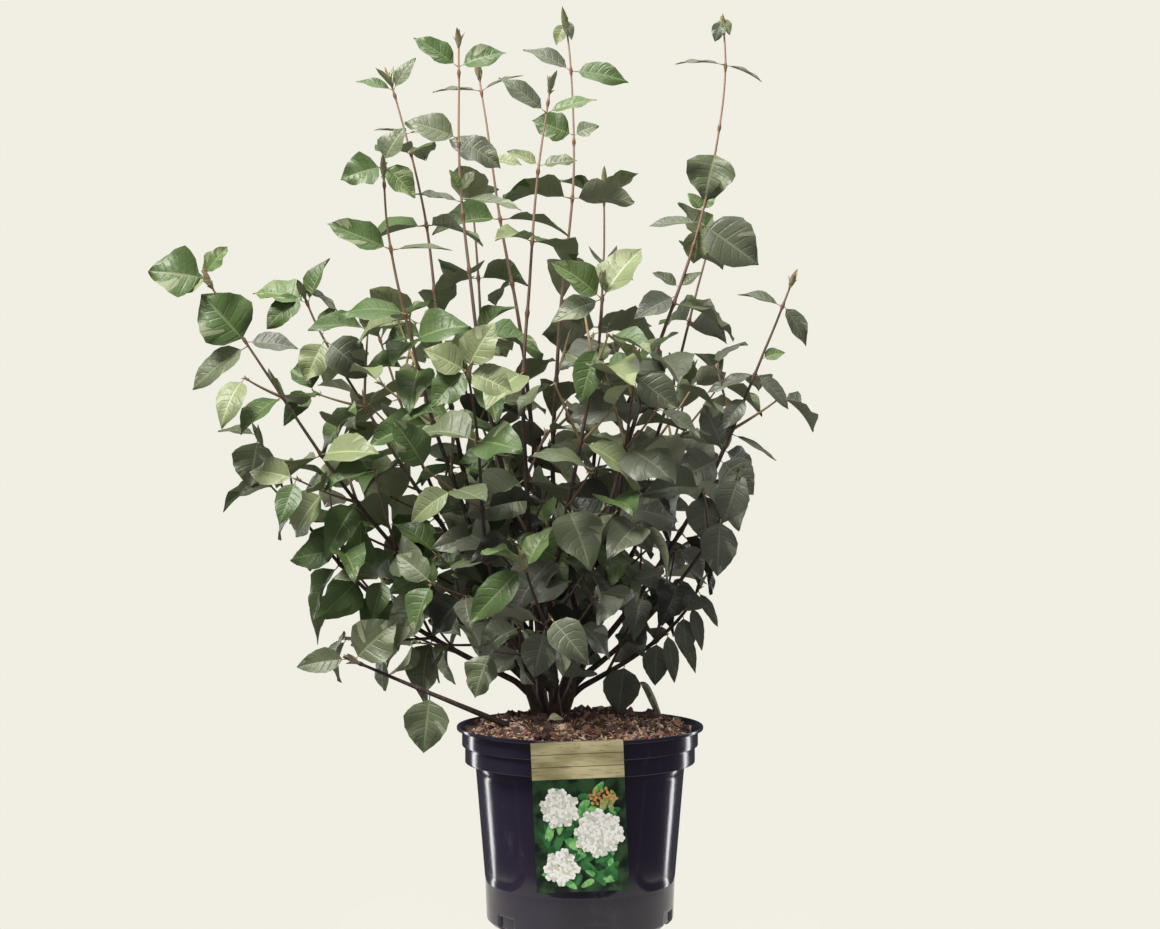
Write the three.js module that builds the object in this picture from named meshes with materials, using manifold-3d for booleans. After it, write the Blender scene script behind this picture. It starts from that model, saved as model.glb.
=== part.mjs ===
// A fragrant snowball viburnum, a many-stemmed flowering shrub, standing in a round nursery pot.
// Units are millimetres, +Z is up, +X is to the right and +Y points away from the viewer.
// The origin is the middle of the pot's underside.
import * as THREE from "three";
import { mergeVertices } from "three/addons/utils/BufferGeometryUtils.js";
import Module from "manifold-3d";

const wasm = await Module();
wasm.setup();

const GAP = 0.3; // clearance between neighbouring solids
const SLIVER = 0.003; // corners nearer than this spoil a join
const UP = new THREE.Vector3(0, 0, 1);
const RIGHT = new THREE.Vector3(1, 0, 0);
const DEGREE = Math.PI / 180;

// Pot: a ten litre nursery pot with two stepped collars and six shallow panels
const POT = {
  height: 222,
  lipRadius: 140,
  lipFoot: 218,
  flareFoot: 212,
  flareRadius: 137,
  collarRadius: 134,
  collarFoot: 200,
  stepRadius: 130.5,
  stepFoot: 181,
  bodyTopRadius: 119,
  bandRadius: 107.5,
  bandTop: 46,
  footRadius: 106,
  chamfer: 5,
  wall: 3,
  floor: 4,
  segments: 30,
};
const PANEL = { count: 6, width: 82, top: 174, bottom: 50, round: 26, depth: 1.4 };
const DRAIN = { count: 6, width: 26, height: 16, depth: 14, turn: 9 };

// Soil: it fills the pot and ends in a low mound with a ragged shoulder
const SOIL = {
  top: 227, flatRadius: 100, shoulderRadius: 114, shoulder: 221.5, ragged: 1.5, edge: 214, play: 0.4,
};

// Label: a stiff card that hangs from the lip by a narrow tongue
const LABEL = { width: 99, height: 163, top: 222.6, thick: 0.8, x: -3.5, tilt: 2.4, lean: 3.5, clear: 0.65 };
const TONGUE = { width: 7, over: 0.35, reach: 9.5, drop: 5 };

// Sprout: a small strap-shaped leaf that grows out of the soil
const SPROUT = {
  foot: [93, 60, 224.1], knee: [84, 60, 246], bend: [75, 60, 264], tip: [60, 58, 261], width: 12, thick: 1.4,
};

// Main stems: where each stands on the soil and where it forks
const STEM = { footRadius: 6.5, topRadius: 4.8, flare: 1.35, flareHeight: 12, sides: 8 };
const STEMS = [
  { name: "left", foot: [-47, 32], top: [-82, 22, 315] },
  { name: "front", foot: [-28, 26], top: [-38, -20, 332] },
  { name: "right", foot: [-22, 46], top: [18, 28, 322] },
  { name: "middle", foot: [-42, 52], top: [-50, 46, 350] },
  { name: "right_back", foot: [-26, 66], top: [2, 98, 325] },
  { name: "left_back", foot: [-45, 72], top: [-74, 102, 320] },
];

// Shoots: the stem each springs from and at what share of it, its tip, how far its lower and its
// upper bend stand off the straight line, the bare length that is its bough, how far its first
// pair of leaves sits below the tip, and the turn of that pair in degrees
const SHOOTS = [
  { name: "tall_back", stem: "right_back", at: 1, tip: [-19, 95, 1050],
    low: [-80, 10], high: [40, 0], bare: 60, first: 66, turn: 0 },
  { name: "tall_right", stem: "right", at: 1, tip: [163, 20, 1033],
    low: [-55, -10], high: [78, 0], bare: 60, first: 58, turn: 0 },
  { name: "tall_left", stem: "front", at: 1, tip: [-134, -60, 1000],
    low: [-40, 12], high: [-40, 0], bare: 55, first: 48, turn: 10 },
  { name: "tall_left_back", stem: "middle", at: 1, tip: [-120, 70, 990],
    low: [40, 10], high: [0, 0], bare: 55, first: 36, turn: 20 },
  { name: "tall_outer_left", stem: "middle", at: 0.7, tip: [-221, -10, 968],
    low: [-70, 0], high: [30, 0], bare: 80, first: 34, turn: -20 },
  { name: "tall_front", stem: "front", at: 0.66, tip: [-31, -90, 943],
    low: [-38, -55], high: [-27, -20], bare: 70, first: 30, turn: 40 },
  { name: "left_outer", stem: "left", at: 1, tip: [-215, -90, 850],
    low: [-10, -20], high: [-42, -20], bare: 50, first: 26, turn: 20 },
  { name: "right_inner", stem: "right_back", at: 0.84, tip: [157, 100, 796],
    low: [10, 10], high: [12, 0], bare: 70, first: 30, turn: -20 },
  { name: "right_arm", stem: "right", at: 0.72, tip: [244, -10, 735],
    low: [48, 0], high: [18, 0], bare: 70, first: 40, turn: 0 },
  { name: "far_left", stem: "left", at: 0.5, tip: [-419, -60, 733],
    low: [-48, -10], high: [-24, -10], bare: 75, first: 18, turn: 60 },
  { name: "left_arm", stem: "left", at: 0.7, tip: [-325, 40, 729],
    low: [30, 20], high: [-30, 10], bare: 70, first: 26, turn: 0 },
  { name: "low_left_arm", stem: "left", at: 0.28, tip: [-373, 20, 557],
    low: [-110, 0], high: [-55, 0], bare: 70, first: 24, turn: 30 },
  { name: "front_middle", stem: "front", at: 0.4, tip: [23, -150, 724],
    low: [-30, -70], high: [25, -30], bare: 62, first: 30, turn: 20 },
  { name: "front_right", stem: "right", at: 0.56, tip: [60, -125, 644],
    low: [14, -40], high: [10, -30], bare: 62, first: 26, turn: 35 },
  { name: "front_rosette", stem: "front", at: 0.27, tip: [-119, -200, 624],
    low: [-60, -30], high: [0, -20], bare: 58, first: 16, turn: 45 },
  { name: "back_middle", stem: "right_back", at: 0.66, tip: [30, 190, 880],
    low: [10, 50], high: [10, 20], bare: 66, first: 38, turn: 15 },
  { name: "short_left", stem: "left_back", at: 1, tip: [-130, 130, 854],
    low: [-10, 30], high: [-10, 10], bare: 50, first: 30, turn: 65 },
  { name: "back_left", stem: "left_back", at: 0.7, tip: [-255, 190, 700],
    low: [-30, 30], high: [-20, 20], bare: 66, first: 30, turn: 55 },
  { name: "back_right", stem: "right_back", at: 0.48, tip: [140, 215, 640],
    low: [30, 50], high: [20, 30], bare: 66, first: 30, turn: 40 },
  { name: "low_right_front", stem: "right", at: 0.36, tip: [175, -110, 514],
    low: [40, -10], high: [30, -10], bare: 58, first: 20, turn: 50 },
  { name: "low_front", stem: "front", at: 0.12, tip: [-60, -195, 424],
    low: [20, -50], high: [0, -40], bare: 48, first: 18, turn: 30 },
  { name: "low_right", stem: "right", at: 0.18, tip: [140, 5, 395],
    low: [40, 10], high: [40, 0], bare: 50, first: 18, turn: 60 },
  { name: "back_low", stem: "left_back", at: 0.42, tip: [-70, 270, 470],
    low: [0, 60], high: [0, 30], bare: 58, first: 24, turn: 15 },
  { name: "ground_left", foot: [-80, -50], tip: [-262, -60, 305],
    low: [0, 0], high: [0, 0], bare: 60, first: 20, turn: 20 },
];
const SHOOT = {
  footRadius: 3.9, tipRadius: 1.6, elbowOut: 17, elbowUp: 16, boughSides: 4, spraySides: 4, ring: 115,
};

// Nodes: pairs of leaves sit across each other and each pair is turned a quarter from the last
const NODE = {
  bud: 24, budRadius: 3.6, step: 78, stepLow: 54, stepSpread: 10, quarter: 90, young: 70,
};

// Side twigs: short shoots in the axils of the lower leaves
const TWIG = {
  from: 540, chance: 0.36, length: 44, spread: 60, angle: 42, angleSpread: 14, lift: 0.1,
  footRadius: 1.9, tipRadius: 1.4, sides: 3, second: 78, clear: 7,
  clearLeaf: 4, ignore: 20, rise: 5,
};

// Leaves: broad ovals with a short stalk, folded along the midrib and drooping to the tip
const LEAF = {
  young: 60, full: 76, spread: 24, narrow: 0.58, wide: 0.72, stalk: 0.11,
  youngAngle: 48, fullAngle: 60, angleSpread: 22, turnSpread: 36, roll: 80,
  lean: 0.6, leanTop: 850, leanDepth: 250, leanPlane: 70,
  sag: 0.12, sagLow: 0.75, droop: 0.1, droopSpread: 0.2, fold: 0.2,
  root: 0.9, sunk: [1.1, 0.9, 1.3, 0.7, 1, 1.2], thick: 1.6, tries: 6, clearLeaf: 5.5, clearLimb: 4, nearRoot: 13,
};

// A repeatable random sequence between 0 and 1
function makeRandom(seed) {
  let state = (seed * 2654435761) >>> 0;
  return function next() {
    state = (state + 0x6d2b79f5) >>> 0;
    let mixed = Math.imul(state ^ (state >>> 15), state | 1);
    mixed = (mixed + Math.imul(mixed ^ (mixed >>> 7), mixed | 61)) ^ mixed;
    return ((mixed ^ (mixed >>> 14)) >>> 0) / 4294967296;
  };
}

function vector(list) {
  return new THREE.Vector3(list[0], list[1], list[2]);
}

// Paths: lists of points with the distance along them

function makePath(points) {
  const lengths = [0];
  for (let i = 1; i < points.length; i++) {
    lengths.push(lengths[i - 1] + points[i].distanceTo(points[i - 1]));
  }
  return { points, lengths, total: lengths[lengths.length - 1] };
}

function pointAt(path, distance) {
  const s = Math.min(Math.max(distance, 0), path.total);
  let i = 1;
  while (i < path.points.length - 1 && path.lengths[i] < s) {
    i += 1;
  }
  const share = (s - path.lengths[i - 1]) / (path.lengths[i] - path.lengths[i - 1]);
  return path.points[i - 1].clone().lerp(path.points[i], share);
}

function tangentAt(path, distance) {
  const ahead = pointAt(path, Math.min(distance + 4, path.total));
  const behind = pointAt(path, Math.max(distance - 4, 0));
  return ahead.sub(behind).normalize();
}

function bezier(p0, p1, p2, p3, count) {
  const points = [];
  for (let i = 0; i <= count; i++) {
    const t = i / count;
    const u = 1 - t;
    const point = p0.clone().multiplyScalar(u * u * u);
    point.addScaledVector(p1, 3 * u * u * t);
    point.addScaledVector(p2, 3 * u * t * t);
    point.addScaledVector(p3, t * t * t);
    points.push(point);
  }
  return points;
}

// Two directions across a given one: the first lies as near +X as it can
function crossAxes(along) {
  const first = RIGHT.clone().addScaledVector(along, -RIGHT.dot(along)).normalize();
  const second = along.clone().cross(first).normalize();
  return [first, second];
}

// Plan of the limbs

function stemPath(stem) {
  const foot = new THREE.Vector3(stem.foot[0], stem.foot[1], SOIL.top + GAP);
  return makePath([foot, vector(stem.top)]);
}

function stemRadius(share) {
  return STEM.footRadius + (STEM.topRadius - STEM.footRadius) * share;
}

function shootPath(row) {
  const tip = vector(row.tip);
  const stem = STEMS.find((entry) => entry.name === row.stem);
  let start;
  const lead = [];
  if (stem) {
    const path = stemPath(stem);
    start = pointAt(path, path.total * row.at);
    if (row.at < 1) {
      lead.push(start.clone());
      const outward = tip.clone().sub(start).divideScalar(3);
      outward.x += row.low[0];
      outward.y += row.low[1];
      outward.z = 0;
      outward.normalize();
      start.addScaledVector(outward, SHOOT.elbowOut);
      start.addScaledVector(UP, SHOOT.elbowUp);
    }
  } else {
    start = new THREE.Vector3(row.foot[0], row.foot[1], SOIL.top + GAP);
  }
  const chord = tip.clone().sub(start);
  const lower = start.clone().addScaledVector(chord, 1 / 3);
  lower.x += row.low[0];
  lower.y += row.low[1];
  const upper = start.clone().addScaledVector(chord, 2 / 3);
  upper.x += row.high[0];
  upper.y += row.high[1];
  return makePath(lead.concat(bezier(start, lower, upper, tip, 48)));
}

function shootRadius(share) {
  return SHOOT.footRadius + (SHOOT.tipRadius - SHOOT.footRadius) * Math.pow(share, 0.85);
}

// Points strung along a limb, each with the limb's radius there
function limbPoints(path, from, radiusOf, owner) {
  const marks = [];
  const count = Math.max(Math.ceil((path.total - from) / 8), 1);
  for (let i = 0; i <= count; i++) {
    const distance = from + ((path.total - from) * i) / count;
    marks.push({ at: pointAt(path, distance), radius: radiusOf(distance / path.total), owner });
  }
  return marks;
}

// Plan of the leaves

// Half of a leaf's width as a share of its greatest, at a share of the blade's length
function bladeWidth(share) {
  return 2.313 * Math.pow(share, 0.45) * Math.pow(1 - share, 0.85);
}

// A point of a leaf: share runs from root to tip and across from -1 to 1
function leafPoint(leaf, share, across, lift) {
  const blade = Math.max((share - LEAF.stalk) / (1 - LEAF.stalk), 0);
  const half = (leaf.width / 2) * (blade > 0 && blade < 1 ? bladeWidth(blade) : 0);
  const side = leaf.normal.clone().cross(leaf.along);
  const reach = share * leaf.length * (1 - 0.25 * leaf.droop);
  const fall = leaf.droop * share * share * leaf.length;
  const point = leaf.root.clone().addScaledVector(leaf.along, reach);
  point.addScaledVector(side, across * half);
  point.addScaledVector(leaf.normal, Math.abs(across) * half * LEAF.fold - fall + lift);
  return point;
}

function leafMarks(leaf) {
  const marks = [];
  for (let i = 1; i <= 8; i++) {
    for (const across of [-0.9, -0.45, 0, 0.45, 0.9]) {
      marks.push(leafPoint(leaf, i / 8, across, 0));
    }
  }
  return marks;
}

function makeLeaf(root, axis, turn, angle, roll, length, aspect, sag, droop) {
  const [first, second] = crossAxes(axis);
  const along = axis.clone().multiplyScalar(Math.cos(angle * DEGREE));
  along.addScaledVector(first, Math.cos(turn * DEGREE) * Math.sin(angle * DEGREE));
  along.addScaledVector(second, Math.sin(turn * DEGREE) * Math.sin(angle * DEGREE));
  along.z -= sag;
  along.normalize();
  // Faces lean up, along the shoot and, lower in the crown, out from its broad middle plane
  const low = Math.min(Math.max((LEAF.leanTop - root.z) / LEAF.leanDepth, 0.1), 1);
  const face = UP.clone().multiplyScalar(0.8).addScaledVector(axis, 0.35);
  face.y += (root.y < LEAF.leanPlane ? -1 : 1) * LEAF.lean * low;
  const normal = face.addScaledVector(along, -face.dot(along)).normalize();
  normal.applyAxisAngle(along, roll * DEGREE);
  return { root, along, normal, length, width: length * aspect, droop };
}

// Whether a leaf keeps off the soil and the pot
function outsidePot(marks) {
  return marks.every((mark) => {
    const reach = Math.hypot(mark.x, mark.y);
    return reach < POT.lipRadius + 8 ? mark.z > SOIL.top + 5 : mark.z > 120;
  });
}

function clearOf(marks, root, others, clear) {
  for (const mark of marks) {
    if (mark.distanceTo(root) < LEAF.nearRoot) {
      continue;
    }
    for (const other of others) {
      if (mark.distanceTo(other.at) < clear + other.radius) {
        return false;
      }
    }
  }
  return true;
}

function near(items, centre, reach) {
  return items.filter((item) => item.at.distanceTo(centre) < reach);
}

// Tries a leaf a few times, each time turned a little otherwise, and keeps it if it has room
function placeLeaf(random, spot, world) {
  for (let attempt = 0; attempt < LEAF.tries; attempt++) {
    const wide = 1 + attempt * 0.35;
    const turn = spot.turn + (random() - 0.5) * LEAF.turnSpread * wide;
    const angle = spot.angle + (random() - 0.5) * LEAF.angleSpread * wide;
    const roll = (random() - 0.5) * LEAF.roll * wide;
    const length = spot.length * (1 - attempt * 0.04);
    const aspect = LEAF.narrow + (LEAF.wide - LEAF.narrow) * random();
    const droop = spot.droop + LEAF.droopSpread * random();
    const leaf = makeLeaf(spot.root, spot.axis, turn, angle, roll, length, aspect, spot.sag, droop);
    const marks = leafMarks(leaf);
    const centre = leafPoint(leaf, 0.5, 0, 0);
    const limbs = near(world.limbs, centre, length * 0.6 + 14);
    const leaves = near(world.leaves, centre, length * 0.6 + 10);
    if (!outsidePot(marks) || !clearOf(marks, spot.root, limbs, LEAF.clearLimb)) {
      continue;
    }
    if (clearOf(marks, spot.root, leaves, LEAF.clearLeaf)) {
      for (const mark of marks) {
        world.leaves.push({ at: mark, radius: 0 });
      }
      return leaf;
    }
  }
  return null;
}

// Nodes of a shoot, from the tip down, each with the share of the way from tip to foot
function shootNodes(row, path, random) {
  const nodes = [];
  let turn = row.turn;
  let below = row.first;
  const usable = path.total - row.bare - 14;
  while (below < usable) {
    const depth = below / (path.total - row.bare);
    const distance = path.total - below;
    const axis = tangentAt(path, distance);
    nodes.push({ at: pointAt(path, distance), axis, turn, below, depth });
    turn += NODE.quarter;
    below += NODE.step + (NODE.stepLow - NODE.step) * depth + NODE.stepSpread * (random() - 0.5) * 2;
  }
  return nodes;
}

function nodeSpot(node, side, random) {
  const young = node.below < NODE.young;
  return {
    root: node.at,
    axis: node.axis,
    turn: node.turn + 180 * side,
    angle: young ? LEAF.youngAngle : LEAF.fullAngle + 14 * node.depth,
    length: (young ? LEAF.young : LEAF.full + 6 * node.depth) + LEAF.spread * (random() - 0.3),
    sag: LEAF.sag + LEAF.sagLow * node.depth,
    droop: LEAF.droop,
  };
}

// A side twig: a short curved shoot that turns up, with a pair of leaves at its tip
function makeTwig(node, side, random) {
  const turn = node.turn + 180 * side + 24 * (random() - 0.5);
  const angle = (TWIG.angle + TWIG.angleSpread * (random() - 0.5)) * DEGREE;
  const length = TWIG.length + TWIG.spread * random();
  const [first, second] = crossAxes(node.axis);
  const along = node.axis.clone().multiplyScalar(Math.cos(angle));
  along.addScaledVector(first, Math.cos(turn * DEGREE) * Math.sin(angle));
  along.addScaledVector(second, Math.sin(turn * DEGREE) * Math.sin(angle));
  const foot = node.at.clone().addScaledVector(node.axis, TWIG.rise);
  const middle = foot.clone().addScaledVector(along, length * 0.5);
  const tip = foot.clone().addScaledVector(along, length).addScaledVector(UP, TWIG.lift * length * 0.5);
  return { path: makePath([foot, middle, tip]), turn, leaves: [] };
}

function planShrub() {
  const world = { limbs: [], leaves: [] };
  const shoots = SHOOTS.map((row, index) => {
    const random = makeRandom(index + 11);
    const path = shootPath(row);
    return { row, index, path, random, nodes: shootNodes(row, path, random), leaves: [], twigs: [] };
  });
  for (const stem of STEMS) {
    world.limbs.push(...limbPoints(stemPath(stem), 0, stemRadius, stem.name));
  }
  for (const shoot of shoots) {
    world.limbs.push(...limbPoints(shoot.path, 0, shootRadius, shoot.row.name));
  }
  // The leaves at the shoots' own nodes come first, from the tips down
  for (const shoot of shoots) {
    for (const node of shoot.nodes) {
      for (const side of [0, 1]) {
        const leaf = placeLeaf(shoot.random, nodeSpot(node, side, shoot.random), world);
        if (leaf) {
          shoot.leaves.push(leaf);
        }
      }
    }
  }
  // Then the side twigs, each with its own leaves
  for (const shoot of shoots) {
    for (const node of shoot.nodes.slice(1)) {
      if (node.at.z > TWIG.from) {
        continue;
      }
      for (const side of [0, 1]) {
        const draw = shoot.random();
        const twig = makeTwig(node, side, shoot.random);
        if (draw < TWIG.chance) {
          placeTwig(shoot, node, twig, world);
        }
      }
    }
  }
  return shoots;
}

function placeTwig(shoot, node, twig, world) {
  const radiusOf = () => TWIG.footRadius;
  const marks = limbPoints(twig.path, TWIG.ignore, radiusOf, shoot.row.name);
  const points = marks.map((mark) => mark.at);
  const others = near(world.limbs, twig.path.points[1], twig.path.total + 20);
  const leaves = near(world.leaves, twig.path.points[1], twig.path.total + 20);
  if (!outsidePot(points) || !clearOf(points, node.at, others, TWIG.clear)) {
    return;
  }
  if (!clearOf(points, node.at, leaves, TWIG.clearLeaf)) {
    return;
  }
  const distances = [twig.path.total];
  if (twig.path.total > TWIG.second) {
    distances.push(twig.path.total * 0.5);
  }
  let turn = twig.turn + NODE.quarter * 0.5;
  for (const distance of distances) {
    const at = pointAt(twig.path, distance === twig.path.total ? distance - 1 : distance);
    for (const side of [0, 1]) {
      const spot = {
        root: at,
        axis: tangentAt(twig.path, distance),
        turn: turn + 180 * side,
        angle: LEAF.youngAngle + 4,
        length: LEAF.young + LEAF.spread * (shoot.random() - 0.3),
        sag: LEAF.sag + LEAF.sagLow * node.depth,
        droop: LEAF.droop,
      };
      const leaf = placeLeaf(shoot.random, spot, world);
      if (leaf) {
        twig.leaves.push(leaf);
      }
    }
    turn += NODE.quarter;
  }
  if (twig.leaves.length > 0) {
    world.limbs.push(...marks);
    shoot.twigs.push(twig);
  }
}

// Solids

function indexed(points, triangles) {
  const geometry = new THREE.BufferGeometry();
  const flat = new Float32Array(points.length * 3);
  points.forEach((point, i) => flat.set([point.x, point.y, point.z], i * 3));
  geometry.setAttribute("position", new THREE.BufferAttribute(flat, 3));
  geometry.setIndex(triangles.flat());
  return geometry;
}

function solidOf(geometry) {
  const bare = new THREE.BufferGeometry();
  bare.setAttribute("position", geometry.getAttribute("position"));
  if (geometry.index) {
    bare.setIndex(geometry.index);
  }
  const merged = mergeVertices(bare, 1e-4);
  const index = merged.index.array;
  const kept = [];
  for (let i = 0; i < index.length; i += 3) {
    const [a, b, c] = [index[i], index[i + 1], index[i + 2]];
    if (a !== b && b !== c && c !== a) {
      kept.push(a, b, c);
    }
  }
  const mesh = new wasm.Mesh({
    numProp: 3,
    vertProperties: new Float32Array(merged.getAttribute("position").array),
    triVerts: new Uint32Array(kept),
  });
  return new wasm.Manifold(mesh);
}

// A tube through given centres with a radius at each and flat ends
function tube(centres, radii, sides, normals) {
  const points = [];
  const triangles = [];
  const count = centres.length;
  let axis = null;
  for (let i = 0; i < count; i++) {
    const before = centres[Math.max(i - 1, 0)];
    const after = centres[Math.min(i + 1, count - 1)];
    const along = normals && normals[i] ? normals[i] : after.clone().sub(before).normalize();
    axis = axis ? axis.addScaledVector(along, -axis.dot(along)).normalize() : crossAxes(along)[0];
    const other = along.clone().cross(axis);
    for (let k = 0; k < sides; k++) {
      const angle = (2 * Math.PI * k) / sides;
      const point = centres[i].clone().addScaledVector(axis, Math.cos(angle) * radii[i]);
      points.push(point.addScaledVector(other, Math.sin(angle) * radii[i]));
    }
  }
  for (let i = 0; i < count - 1; i++) {
    for (let k = 0; k < sides; k++) {
      const a = i * sides + k;
      const b = i * sides + ((k + 1) % sides);
      triangles.push([a, b, b + sides], [a, b + sides, a + sides]);
    }
  }
  const last = (count - 1) * sides;
  for (let k = 1; k < sides - 1; k++) {
    triangles.push([0, k + 1, k], [last, last + k, last + k + 1]);
  }
  return solidOf(indexed(points, triangles));
}

// A turned solid from a profile of radius and height, given from the lower axis point outwards
function turned(profile, segments, heightAt) {
  const points = [];
  const triangles = [];
  const rings = profile.map(([radius, height], row) => {
    if (radius === 0) {
      points.push(new THREE.Vector3(0, 0, height));
      return [points.length - 1];
    }
    const ring = [];
    for (let k = 0; k < segments; k++) {
      const angle = (2 * Math.PI * k) / segments;
      const z = heightAt ? height + heightAt(row, k) : height;
      points.push(new THREE.Vector3(Math.cos(angle) * radius, Math.sin(angle) * radius, z));
      ring.push(points.length - 1);
    }
    return ring;
  });
  for (let i = 0; i < rings.length - 1; i++) {
    const [low, high] = [rings[i], rings[i + 1]];
    for (let k = 0; k < segments; k++) {
      const next = (k + 1) % segments;
      if (low.length > 1 && high.length > 1) {
        triangles.push([low[k], low[next], high[next]], [low[k], high[next], high[k]]);
      } else if (low.length > 1) {
        triangles.push([low[k], low[next], high[0]]);
      } else if (high.length > 1) {
        triangles.push([low[0], high[next], high[k]]);
      }
    }
  }
  return solidOf(indexed(points, triangles));
}

function joinAll(solids) {
  return solids.length > 1 ? wasm.Manifold.union(solids) : solids[0];
}

function largestPiece(solid) {
  const pieces = solid.decompose();
  pieces.sort((a, b) => b.volume() - a.volume());
  return pieces[0];
}

function placed(geometry, turnDegrees, shift) {
  geometry.translate(shift[0], shift[1], shift[2]);
  geometry.rotateZ(turnDegrees * DEGREE);
  return solidOf(geometry);
}

function bodyRadius(height) {
  const share = (height - POT.bandTop) / (POT.stepFoot - POT.bandTop);
  return POT.bandRadius + (POT.bodyTopRadius - POT.bandRadius) * share;
}

function potSolid() {
  const wall = POT.wall;
  const profile = [
    [0, 0],
    [POT.footRadius - POT.chamfer, 0],
    [POT.footRadius, POT.chamfer],
    [POT.bandRadius, POT.bandTop],
    [POT.bodyTopRadius, POT.stepFoot],
    [POT.stepRadius, POT.stepFoot],
    [POT.stepRadius, POT.collarFoot],
    [POT.collarRadius, POT.collarFoot],
    [POT.collarRadius, POT.lipFoot],
    [POT.lipRadius, POT.lipFoot],
    [POT.lipRadius, POT.height],
    [POT.flareRadius, POT.height],
    [POT.collarRadius - wall, POT.flareFoot],
    [POT.collarRadius - wall, POT.collarFoot + wall],
    [POT.stepRadius - wall, POT.collarFoot + wall],
    [POT.stepRadius - wall, POT.stepFoot + wall],
    [POT.bodyTopRadius - wall, POT.stepFoot + wall],
    [POT.bandRadius - wall, POT.bandTop],
    [POT.footRadius - wall, POT.floor],
    [0, POT.floor],
  ];
  let solid = turned(profile, POT.segments);
  // The panels are sunk to an even depth behind the tapering wall
  const half = PANEL.width / 2;
  const height = PANEL.top - PANEL.bottom;
  const outline = new THREE.Shape();
  outline.moveTo(-half, height);
  outline.lineTo(-half, PANEL.round);
  outline.quadraticCurveTo(-half, 0, -half + PANEL.round, 0);
  outline.lineTo(half - PANEL.round, 0);
  outline.quadraticCurveTo(half, 0, half, PANEL.round);
  outline.lineTo(half, height);
  outline.closePath();
  const low = PANEL.bottom - 6;
  const high = PANEL.top + 6;
  const core = turned(
    [[0, low], [bodyRadius(low) - PANEL.depth, low], [bodyRadius(high) - PANEL.depth, high], [0, high]],
    POT.segments,
  );
  for (let i = 0; i < PANEL.count; i++) {
    const slab = new THREE.ExtrudeGeometry(outline, { depth: 60, bevelEnabled: false, curveSegments: 2 });
    slab.rotateX(Math.PI / 2);
    const cutter = placed(slab, (360 / PANEL.count) * i, [0, -80, PANEL.bottom]);
    solid = solid.subtract(cutter.subtract(core));
  }
  // Drain channels run in from the lower edge
  for (let i = 0; i < DRAIN.count; i++) {
    const box = new THREE.BoxGeometry(DRAIN.width, DRAIN.depth + 20, DRAIN.height * 2);
    const shift = [0, -(POT.footRadius - DRAIN.depth) - (DRAIN.depth + 20) / 2, 0];
    const floorCut = placed(box, (360 / DRAIN.count) * i + DRAIN.turn, shift);
    solid = solid.subtract(floorCut);
  }
  return solid;
}

function soilSolid() {
  const random = makeRandom(5);
  const bumps = [];
  for (let k = 0; k < POT.segments; k++) {
    bumps.push(random() - 0.5);
  }
  const wall = POT.wall + SOIL.play;
  const profile = [
    [0, POT.floor + SOIL.play],
    [POT.footRadius - wall, POT.floor + SOIL.play],
    [POT.bandRadius - wall, POT.bandTop],
    [POT.bodyTopRadius - wall, POT.stepFoot + wall],
    [POT.stepRadius - wall, POT.stepFoot + wall],
    [POT.stepRadius - wall, SOIL.edge],
    [SOIL.shoulderRadius, SOIL.shoulder],
    [SOIL.flatRadius, SOIL.top],
    [0, SOIL.top],
  ];
  const shoulderRow = 6;
  const drainCores = [];
  for (let i = 0; i < DRAIN.count; i++) {
    const grow = 2 * SOIL.play;
    const box = new THREE.BoxGeometry(DRAIN.width + grow, DRAIN.depth + 20 + grow, DRAIN.height * 2 + grow);
    const shift = [0, -(POT.footRadius - DRAIN.depth) - (DRAIN.depth + 20) / 2, 0];
    drainCores.push(placed(box, (360 / DRAIN.count) * i + DRAIN.turn, shift));
  }
  const bumpAt = (row, k) => (row === shoulderRow ? bumps[k] * 2 * SOIL.ragged : 0);
  const mound = turned(profile, POT.segments, bumpAt);
  return mound.subtract(joinAll(drainCores));
}

// The card hangs outside the lip and its tongue goes over the lip and down inside
function labelSolid() {
  const face = -(POT.lipRadius * Math.cos(Math.PI / POT.segments) + LABEL.clear);
  const matrix = new THREE.Matrix4().makeTranslation(LABEL.x, face, LABEL.top);
  matrix.multiply(new THREE.Matrix4().makeRotationX(LABEL.lean * DEGREE));
  matrix.multiply(new THREE.Matrix4().makeRotationY(-LABEL.tilt * DEGREE));
  const card = new THREE.BoxGeometry(LABEL.width, LABEL.thick, LABEL.height);
  card.translate(0, -LABEL.thick / 2, -LABEL.height / 2);
  card.applyMatrix4(matrix);
  const rise = POT.height + TONGUE.over - LABEL.top + LABEL.thick;
  const front = new THREE.BoxGeometry(TONGUE.width, LABEL.thick, rise + 12);
  front.translate(LABEL.x, face - LABEL.thick / 2, LABEL.top + (rise - 12) / 2);
  const bridge = new THREE.BoxGeometry(TONGUE.width, TONGUE.reach + LABEL.thick, LABEL.thick);
  const top = LABEL.top + rise - LABEL.thick / 2;
  bridge.translate(LABEL.x, face + (TONGUE.reach - LABEL.thick) / 2, top);
  const back = new THREE.BoxGeometry(TONGUE.width, LABEL.thick, TONGUE.drop);
  back.translate(LABEL.x, face + TONGUE.reach - LABEL.thick / 2, top + LABEL.thick / 2 - TONGUE.drop / 2);
  return joinAll([card, front, bridge, back].map(solidOf));
}

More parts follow.
